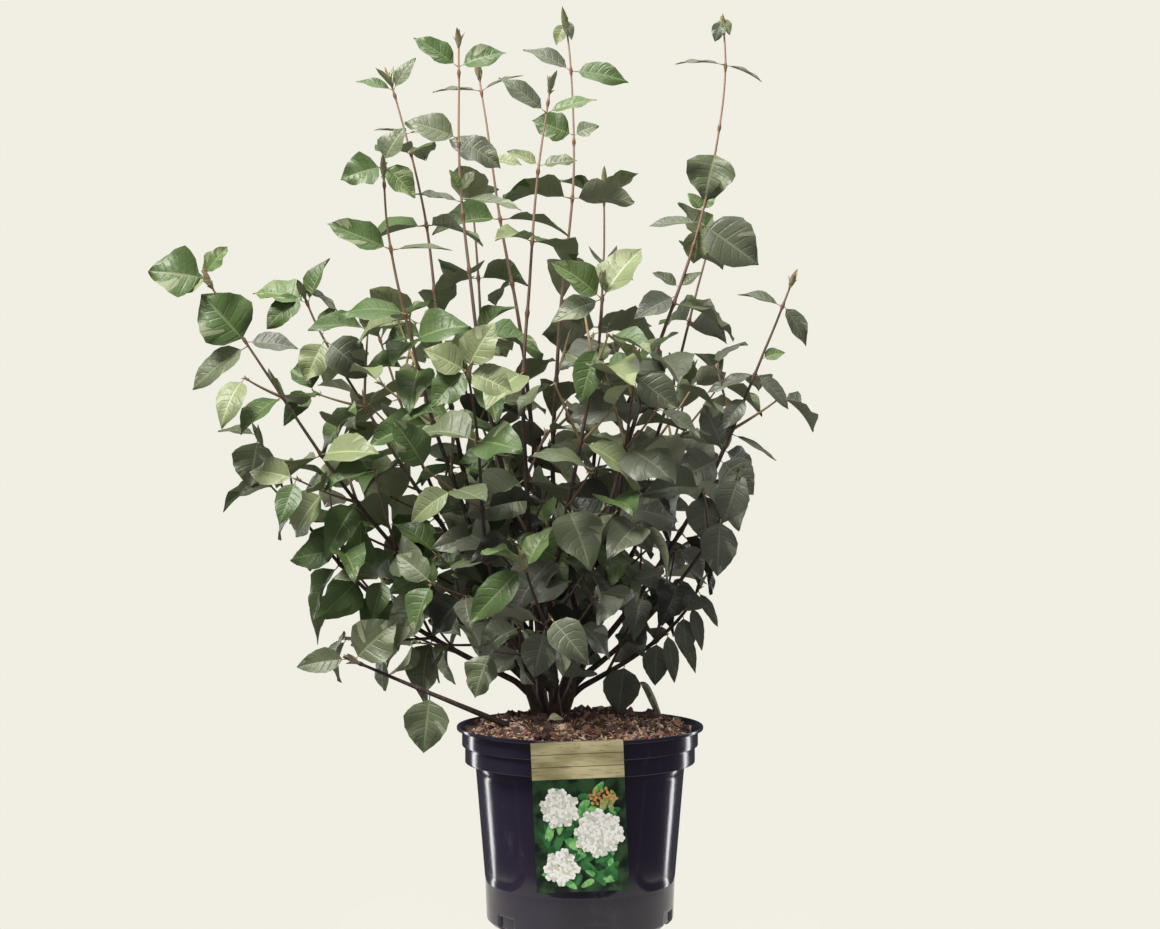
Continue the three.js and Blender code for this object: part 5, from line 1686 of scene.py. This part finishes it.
class Number:
    """A number that varies over a surface; ordinary operators on it add Math nodes."""

    def __init__(self, paint, socket):
        self.paint, self.socket = paint, socket

    def math(self, operation, first, second=None):
        """One Math node."""
        inputs = {0: first} if second is None else {0: first, 1: second}
        node = self.paint.node("ShaderNodeMath", {"operation": operation}, inputs)
        return Number(self.paint, node.outputs[0])

    def __add__(self, other):
        return self.math("ADD", self, other)

    def __radd__(self, other):
        return self.math("ADD", other, self)

    def __sub__(self, other):
        return self.math("SUBTRACT", self, other)

    def __rsub__(self, other):
        return self.math("SUBTRACT", other, self)

    def __mul__(self, other):
        return self.math("MULTIPLY", self, other)

    def __rmul__(self, other):
        return self.math("MULTIPLY", other, self)

    def __truediv__(self, other):
        return self.math("DIVIDE", self, other)

    def __rtruediv__(self, other):
        return self.math("DIVIDE", other, self)

    def __pow__(self, other):
        return self.math("POWER", self, other)

    def sin(self):
        """Its sine."""
        return self.math("SINE", self)

    def size(self):
        """Its distance from zero."""
        return self.math("ABSOLUTE", self)

    def step(self, low, high):
        """A soft step from 0 at low to 1 at high."""
        node = self.paint.node("ShaderNodeMapRange", {"interpolation_type": "SMOOTHSTEP"},
                               {"Value": self, "From Min": low, "From Max": high})
        return Number(self.paint, node.outputs[0])


class Paint:
    """A material: its shader's even values, and the nodes that feed what varies."""

    def __init__(self, name, **even):
        self.material = bpy.data.materials.new(name)
        self.material.use_nodes = True
        self.tree = self.material.node_tree
        self.shader = next(node for node in self.tree.nodes if node.type == "BSDF_PRINCIPLED")
        for socket, value in even.items():
            self.shader.inputs[socket.replace("_", " ")].default_value = value

    def node(self, kind, settings=None, inputs=None):
        """Adds a node: its settings first, then values or links for its sockets."""
        made = self.tree.nodes.new(kind)
        for key, value in (settings or {}).items():
            setattr(made, key, value)
        for key, value in (inputs or {}).items():
            if isinstance(value, Number):
                self.tree.links.new(value.socket, made.inputs[key])
            elif isinstance(value, bpy.types.NodeSocket):
                self.tree.links.new(value, made.inputs[key])
            else:
                made.inputs[key].default_value = value
        return made

    def feed(self, socket, value):
        """Links a varying value to one of the shader's sockets."""
        source = value.socket if isinstance(value, Number) else value
        self.tree.links.new(source, self.shader.inputs[socket])

    def place(self, stretch):
        """Object coordinates, stretched."""
        inputs = {0: self.node("ShaderNodeTexCoord").outputs["Object"], 1: stretch}
        return self.node("ShaderNodeVectorMath", {"operation": "MULTIPLY"}, inputs).outputs[0]

    def height(self):
        """The height above the floor in metres."""
        source = self.node("ShaderNodeTexCoord").outputs["Object"]
        return Number(self, self.node("ShaderNodeSeparateXYZ", None, {0: source}).outputs["Z"])

    def along(self):
        """The piece's own two map coordinates."""
        source = self.node("ShaderNodeUVMap", {"uv_map": "Along"}).outputs[0]
        parts = self.node("ShaderNodeSeparateXYZ", None, {0: source})
        return Number(self, parts.outputs["X"]), Number(self, parts.outputs["Y"])

    def noise(self, scale, detail=3.0, rough=0.55, stretch=(1, 1, 1)):
        """Soft noise from 0 to 1."""
        inputs = {"Vector": self.place(stretch), "Scale": scale, "Detail": detail, "Roughness": rough}
        return Number(self, self.node("ShaderNodeTexNoise", None, inputs).outputs["Fac"])

    def cells(self, scale, stretch=(1, 1, 1)):
        """Distance to scattered points."""
        node = self.node("ShaderNodeTexVoronoi", None, {"Vector": self.place(stretch), "Scale": scale})
        return Number(self, node.outputs["Distance"])

    def blend(self, mask, first, second, how="MIX"):
        """A mix of two colours by a mask."""
        node = self.node("ShaderNodeMix", {"data_type": "RGBA", "blend_type": how}, {"Factor": mask})
        sockets = [socket for socket in node.inputs if socket.type == "RGBA"]
        for socket, colour in zip(sockets, (first, second)):
            if isinstance(colour, bpy.types.NodeSocket):
                self.tree.links.new(colour, socket)
            else:
                socket.default_value = linear(colour)
        return next(socket for socket in node.outputs if socket.type == "RGBA")

    def bump(self, height, strength, distance):
        """Raises the surface by a height, in metres at full strength."""
        inputs = {"Height": height, "Strength": strength, "Distance": distance}
        node = self.node("ShaderNodeBump", None, inputs)
        self.feed("Normal", node.outputs[0])


# Each tone's upper side, midrib and underside, in the order of the tones
TONE_COLOURS = {
    "fresh": ((92, 112, 64), (126, 138, 90), (126, 136, 94)),
    # Pale: partly a painted sheen of lit leaves, partly their own paler colour
    "pale": ((124, 134, 94), (156, 162, 120), (150, 156, 118)),
    "bright": ((76, 97, 53), (108, 121, 76), (125, 133, 100)),
    "mid": ((96, 105, 77), (124, 129, 97), (134, 138, 111)),
    "deep": ((88, 94, 74), (112, 116, 90), (125, 128, 103)),
    "dusky": ((88, 92, 78), (107, 110, 91), (118, 120, 102)),
    # Near-black, painted shade for leaves inside the crown
    "shade": ((42, 45, 36), (56, 58, 44), (60, 62, 50)),
    "bud": ((134, 122, 88), (150, 138, 102), (146, 134, 100)),
}


# How far the side veins sink in a part of a leaf, and its roughness
UPPER_SIDE = (-0.7, 0.36)
RIB = (0.0, 0.4)
UNDERSIDE = (0.7, 0.56)
BOARD_WIDTH = 0.0136


def leaf_paint(name, colour, veined, rough):
    """A part of a leaf: an even colour, with veins and a fine grain in its relief."""
    paint = Paint("leaf_" + name, Base_Color=linear(colour), Specular_IOR_Level=0.4)
    fine = paint.noise(420.0, 2.0)
    if veined:
        row, across = paint.along()
        side = (across - 0.5).size() * 2
        veins = ((row * LEAF_ROWS - 0.5) * pi).sin() * 0.5 + 0.5
        veins = veins ** 12 * (1 - side.step(0.6, 1.0))
        quilt = paint.cells(210.0)
        paint.bump(fine * 0.1 + quilt * 0.5 + veins * veined, 0.6, 0.0008)
    else:
        paint.bump(fine, 0.2, 0.0004)
    paint.feed("Roughness", paint.noise(120.0) * 0.14 + rough)
    return paint.material


def leaf_paints():
    """The leaves' materials: each tone's upper side, its midrib and its underside."""
    made = []
    for name, (upper, rib, lower) in TONE_COLOURS.items():
        made += [leaf_paint(name, upper, *UPPER_SIDE), leaf_paint(name + "_rib", rib, *RIB),
                 leaf_paint(name + "_under", lower, *UNDERSIDE)]
    return made


def bark_paint(name, low, high, from_height, to_height):
    """Bark that changes its colour with height, streaked along the limb and dotted with pores."""
    paint = Paint(name, Specular_IOR_Level=0.35)
    streak = paint.noise(900.0, 4.0, stretch=(1, 1, 0.12))
    patch = paint.noise(60.0, 3.0)
    share = (paint.height() + (patch - 0.5) * 0.16).step(from_height, to_height)
    base = paint.blend(share, low, high)
    light = paint.blend(streak.step(0.5, 0.8), (0, 0, 0), (190, 170, 148))
    paint.feed("Base Color", paint.blend(0.28, base, light, "SCREEN"))
    pores = 1 - paint.cells(420.0, (1, 1, 0.5)).step(0.1, 0.3)
    paint.bump(streak * 0.7 + pores * 0.3, 0.6, 0.0008)
    paint.feed("Roughness", streak * 0.25 + 0.55)
    return paint.material


def pot_paint():
    """Glossy black plastic with a violet cast, faint moulding marks and a little dust."""
    paint = Paint("pot_plastic", Specular_IOR_Level=0.5)
    dust = paint.noise(26.0, 6.0, 0.7, stretch=(1, 1, 0.5)).step(0.56, 0.78)
    specks = 1 - paint.cells(210.0).step(0.03, 0.09)
    specks = specks * paint.noise(14.0).step(0.52, 0.66)
    paint.feed("Base Color", paint.blend(dust * 0.2 + specks * 0.4, (40, 34, 50), (122, 118, 124)))
    paint.feed("Roughness", dust * 0.16 + specks * 0.2 + 0.17)
    ripple = paint.noise(34.0, 2.0, stretch=(1, 1, 0.35))
    paint.bump(ripple, 0.35, 0.0012)
    return paint.material


def soil_paint():
    """Dark, damp, fibrous compost."""
    paint = Paint("compost", Specular_IOR_Level=0.3)
    coarse = paint.noise(150.0, 6.0, 0.7)
    fine = paint.noise(700.0, 4.0, 0.7)
    earth = paint.blend(coarse.step(0.4, 0.66), (66, 50, 45), (138, 102, 88))
    paint.feed("Base Color", paint.blend(fine.step(0.6, 0.74), earth, (196, 158, 128)))
    paint.feed("Roughness", fine * 0.2 + 0.72)
    paint.bump(coarse * 0.6 + fine * 0.4, 0.9, 0.003)
    return paint.material


def chip_paint(name, dark, light):
    """A bark chip: fibres along it in two shades."""
    paint = Paint(name, Specular_IOR_Level=0.3)
    fibre = paint.noise(900.0, 3.0, stretch=(1, 1, 0.4))
    paint.feed("Base Color", paint.blend(fibre.step(0.35, 0.65), dark, light))
    paint.feed("Roughness", fibre * 0.2 + 0.65)
    paint.bump(fibre, 0.5, 0.0006)
    return paint.material


def chip_paints():
    """The materials of what lies on the soil, in order."""
    sorts = (("chip_dark", (66, 50, 47), (106, 82, 74)), ("chip_red", (136, 94, 76), (188, 142, 116)),
             ("chip_tan", (216, 184, 152), (246, 226, 200)), ("chip_grey", (128, 112, 100), (180, 162, 144)),
             ("fibre", (206, 182, 150), (244, 228, 200)), ("scrap", (222, 222, 172), (244, 242, 206)),
             ("scrap_rib", (190, 176, 140), (214, 202, 166)),
             ("scrap_under", (196, 188, 152), (222, 214, 180)),
             ("moss", (150, 148, 112), (212, 204, 166)))
    return [chip_paint(*sort) for sort in sorts]


def even_paint(name, colour, other, scale, rough):
    """A printed or plain surface: one colour that drifts softly into another."""
    paint = Paint(name, Specular_IOR_Level=0.45)
    drift = paint.noise(scale, 4.0)
    paint.feed("Base Color", paint.blend(drift.step(0.35, 0.65), colour, other))
    paint.feed("Roughness", drift * 0.1 + rough)
    return paint.material


def plank_paint():
    """The board strip: three tan boards with grain, knots and dark seams between them."""
    paint = Paint("card_boards", Specular_IOR_Level=0.45)
    _, down = paint.along()
    grain = paint.noise(420.0, 5.0, stretch=(0.14, 1, 1))
    broad = paint.noise(60.0, 3.0, stretch=(0.3, 1, 1))
    boards = paint.blend(broad.step(0.3, 0.7), (156, 146, 102), (206, 196, 150))
    boards = paint.blend(grain.step(0.5, 0.72) * 0.6, boards, (112, 98, 66))
    knots = 1 - paint.cells(42.0, (0.6, 1, 1.2)).step(0.04, 0.15)
    boards = paint.blend(knots * 0.8, boards, (96, 78, 50))
    seam = 1 - ((down / BOARD_WIDTH * pi).sin().size()).step(0.0, 0.16)
    paint.feed("Base Color", paint.blend(seam, boards, (60, 52, 38)))
    paint.feed("Roughness", grain * 0.1 + 0.3)
    paint.bump(grain * 0.5 - seam, 0.3, 0.0003)
    return paint.material


def card_paints():
    """The card's materials, in order."""
    return [
        even_paint("card_green", (16, 28, 21), (46, 78, 44), 60.0, 0.3), plank_paint(),
        even_paint("card_leaf", (74, 148, 78), (146, 204, 122), 130.0, 0.3),
        even_paint("card_leaf_dark", (30, 84, 46), (62, 128, 66), 130.0, 0.3),
        even_paint("card_petal", (232, 230, 222), (250, 250, 246), 400.0, 0.34),
        even_paint("card_eye", (206, 196, 130), (226, 218, 160), 400.0, 0.34),
        even_paint("card_edge", (214, 210, 194), (228, 224, 208), 90.0, 0.42),
        even_paint("card_bud", (168, 118, 62), (206, 160, 96), 300.0, 0.34),
        even_paint("card_tongue", (164, 148, 108), (196, 180, 140), 300.0, 0.34),
        even_paint("card_petal_shade", (196, 198, 186), (222, 224, 212), 400.0, 0.34),
    ]


def sprout_paint():
    """The sprout: a dull grey-green strap with lines along it."""
    paint = Paint("sprout", Specular_IOR_Level=0.4)
    _, across = paint.along()
    lines = (across * SPROUT.lines).sin() * 0.5 + 0.5
    patch = paint.noise(140.0)
    base = paint.blend(patch.step(0.35, 0.65), (92, 98, 76), (132, 138, 106))
    paint.feed("Base Color", paint.blend(lines * 0.35, base, (60, 63, 52)))
    paint.feed("Roughness", patch * 0.2 + 0.42)
    paint.bump(lines, 0.3, 0.0004)
    return paint.material


# Stage

BACKDROP = (241, 238, 227)
CAMERA = Named(
    away=2.26, height=0.518, focal_pixels=1986.0, photo_width=1160.0, sensor_width=36.0, far_enough=40)
FLOOR = Named(radius=0.27, sides=96, colour=(14, 14, 14))
SURROUND_COLOUR = (0.92, 0.9, 0.9, 1)
MIRRORED_COLOUR = (0.86, 0.84, 1.0, 1)


def soft_lamp(name, place, aim, size, power, colour=(1, 1, 1)):
    """A rectangular soft lamp aimed at a point."""
    data = bpy.data.lights.new(name, "AREA")
    data.shape = "RECTANGLE"
    data.size, data.size_y = size
    data.energy = power
    data.color = colour
    lamp = added(name, data)
    lamp.location = place
    lamp.rotation_euler = (Vector(aim) - Vector(place)).to_track_quat("-Z", "Y").to_euler()
    return lamp


def make_floor(settings):
    """A round floor that shows in the backdrop's tone and takes next to no shade."""
    shape = Shape()
    angle = ring_angles(FLOOR.sides)
    rim = np.stack([np.cos(angle), np.sin(angle), 0 * angle], -1) * FLOOR.radius / MM
    shape.add(np.concatenate([rim, [(0, 0, 0)]]), fan_faces(FLOOR.sides, np.arange(FLOOR.sides), False))
    paint = Paint("floor", Base_Color=linear(FLOOR.colour), Roughness=0.9, Specular_IOR_Level=0.0,
                  Emission_Color=linear(BACKDROP), Emission_Strength=settings.backdrop)
    shape.build("floor", [paint.material])


def make_world(settings):
    """The surroundings: the backdrop to the camera, dim in gloss and even light otherwise."""
    world = bpy.data.worlds.new("studio")
    bpy.context.scene.world = world
    world.use_nodes = True
    nodes, links = world.node_tree.nodes, world.node_tree.links

    def even(colour, strength):
        node = nodes.new("ShaderNodeBackground")
        node.inputs["Color"].default_value = colour
        node.inputs["Strength"].default_value = strength
        return node

    def chosen(ray, otherwise, then):
        node = nodes.new("ShaderNodeMixShader")
        for index, source in enumerate((path.outputs[ray], otherwise.outputs[0], then.outputs[0])):
            links.new(source, node.inputs[index])
        return node

    output = next(node for node in nodes if node.type == "OUTPUT_WORLD")
    seen = next(node for node in nodes if node.type == "BACKGROUND")
    seen.inputs["Color"].default_value = linear(BACKDROP)
    lit = even(SURROUND_COLOUR, settings.ambient)
    dim = even(MIRRORED_COLOUR, settings.mirrored)
    path = nodes.new("ShaderNodeLightPath")
    gloss = chosen("Is Glossy Ray", lit, dim)
    links.new(chosen("Is Camera Ray", gloss, seen).outputs[0], output.inputs[0])


def make_camera():
    """A level camera at the picture's angle."""
    data = bpy.data.cameras.new("camera")
    data.sensor_fit = "HORIZONTAL"
    data.sensor_width = CAMERA.sensor_width
    data.lens = CAMERA.focal_pixels / CAMERA.photo_width * CAMERA.sensor_width
    data.clip_end = CAMERA.far_enough
    camera = added("camera", data)
    camera.location = (0, -CAMERA.away, CAMERA.height)
    camera.rotation_euler = (pi / 2, 0, 0)
    bpy.context.scene.camera = camera


def make_stage(settings):
    """A pale floor that meets a backdrop of the same tone, soft lamps and the camera."""
    make_floor(settings)
    bpy.context.scene.view_settings.view_transform = "Standard"
    make_world(settings)
    soft_lamp("key", (-1.2, -1.3, 3.0), (0, 0, 0.6), (1.0, 1.0), settings.key, (1.0, 0.985, 0.95))
    soft_lamp("top", (0.2, 0.3, 2.9), (0, 0, 0.5), (1.6, 1.6), settings.top)
    for name, x in (("left_strip", -1.1), ("right_strip", 1.1)):
        strip = soft_lamp(name, (x, 0.8, 0.4), (0, 0, 0.25), (0.16, 1.5), settings.strip)
        strip.visible_camera = False
    make_camera()


# Add-on

def count_of(name, description, default, least=0):
    """A setting that counts."""
    return bpy.props.IntProperty(name=name, description=description, default=default, min=least)


def amount_of(name, description, default, **more):
    """A setting that measures."""
    return bpy.props.FloatProperty(name=name, description=description, default=default, **more)


class ViburnumPlantSettings(bpy.types.PropertyGroup):
    """Settings of the plant."""

    shoots: count_of("Shoots", "How many of the planned shoots are made", len(SHOOTS), 1)


class ViburnumPotSettings(bpy.types.PropertyGroup):
    """Settings of the pot and what is in and on it."""

    segments: count_of("Segments", "Columns of points round the pot", 306, 60)
    rounding: amount_of("Rounding", "Reach of the rounded corners of its profile", 0.0012, unit="LENGTH")
    chips: count_of("Chips", "Bark chips on the soil", 1500, 1)
    clods: count_of("Clods", "Lumps on the soil", 150)
    crumbs: count_of("Crumbs", "Small crumbs on the soil", 2600, 1)
    fibres: count_of("Fibres", "Pale fibres on the soil", 150)
    card_leaves: count_of("Card leaves", "Leaves tried for the card's pattern", 90)


class ViburnumStageSettings(bpy.types.PropertyGroup):
    """Settings of the stage."""

    backdrop: amount_of("Backdrop", "How bright the floor shows", 1.0, min=0)
    ambient: amount_of("Ambient", "Even light from all round", 0.5, min=0)
    mirrored: amount_of("Mirrored", "How bright the surroundings show in glossy surfaces", 0.08, min=0)
    key: amount_of("Key", "Main lamp", 152.0, subtype="POWER")
    top: amount_of("Top", "Lamp above", 30.0, subtype="POWER")
    strip: amount_of("Strip", "Side lamps", 6.0, subtype="POWER")


class VIBURNUM_OT_plant(bpy.types.Operator):
    """Build the stems, the shoots with their twigs, and the leaves"""

    bl_idname = "viburnum.plant"
    bl_label = "Build plant"

    def execute(self, context):
        wood = [bark_paint("shoot_bark", (60, 48, 45), (156, 128, 106), 0.5, 0.94),
                bark_paint("twig_bark", (78, 62, 52), (164, 142, 104), 0.36, 0.8),
                even_paint("stalk", (122, 118, 80), (158, 150, 106), 90.0, 0.5),
                bark_paint("node_bark", (58, 42, 36), (128, 90, 70), 0.42, 0.8)]
        stem_bark = [bark_paint("stem_bark", (72, 58, 51), (118, 96, 82), 0.22, 0.5)]
        leaves = leaf_paints()
        for index, name in enumerate(STEMS):
            stem_wood(name, index, stem_bark)
        shoots = plan_shrub()
        lines = shown_shoots(shoots)
        notables = {shoot.name: [notable_leaf(shoot, *row) for row in NOTABLE.get(shoot.name, ())]
                    for shoot in shoots}
        for shoot in shoots[:context.scene.viburnum_plant.shoots]:
            dress(shoot, notables, lines)
            shoot_wood(shoot, wood)
            spray_leaves(shoot, leaves)
        return {"FINISHED"}


class VIBURNUM_OT_pot(bpy.types.Operator):
    """Build the pot, the soil, the label and the sprout"""

    bl_idname = "viburnum.pot"
    bl_label = "Build pot"

    def execute(self, context):
        settings = context.scene.viburnum_pot
        make_pot(settings, [pot_paint()])
        make_soil([soil_paint()])
        make_crumbs(settings, chip_paints())
        make_label(settings, card_paints())
        make_sprout([sprout_paint()])
        return {"FINISHED"}


class VIBURNUM_OT_stage(bpy.types.Operator):
    """Build the floor, the lamps and the camera"""

    bl_idname = "viburnum.stage"
    bl_label = "Build stage"

    def execute(self, context):
        make_stage(context.scene.viburnum_stage)
        return {"FINISHED"}


OPERATORS = (VIBURNUM_OT_pot, VIBURNUM_OT_plant, VIBURNUM_OT_stage)


class VIBURNUM_PT_panel(bpy.types.Panel):
    """Lists the settings and what builds from them"""

    bl_idname = "VIBURNUM_PT_panel"
    bl_label = "Potted viburnum"
    bl_space_type = "VIEW_3D"
    bl_region_type = "UI"
    bl_category = "Viburnum"

    def draw(self, context):
        scene = context.scene
        for settings in (scene.viburnum_pot, scene.viburnum_plant, scene.viburnum_stage):
            for name in type(settings).__annotations__:
                self.layout.prop(settings, name)
        for operator in OPERATORS:
            self.layout.operator(operator.bl_idname)


GROUPS = {
    "viburnum_plant": ViburnumPlantSettings,
    "viburnum_pot": ViburnumPotSettings,
    "viburnum_stage": ViburnumStageSettings,
}
CLASSES = (*GROUPS.values(), *OPERATORS, VIBURNUM_PT_panel)


def register():
    for entry in CLASSES:
        bpy.utils.register_class(entry)
    for name, group in GROUPS.items():
        setattr(bpy.types.Scene, name, bpy.props.PointerProperty(type=group))


def unregister():
    for name in GROUPS:
        delattr(bpy.types.Scene, name)
    for entry in reversed(CLASSES):
        bpy.utils.unregister_class(entry)


def main():
    register()
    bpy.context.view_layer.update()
    for name in ("pot", "plant", "stage"):
        result = getattr(bpy.ops.viburnum, name)()
        if "FINISHED" not in result:
            raise RuntimeError(f"the {name} step did not finish")


if __name__ == "__main__":
    main()
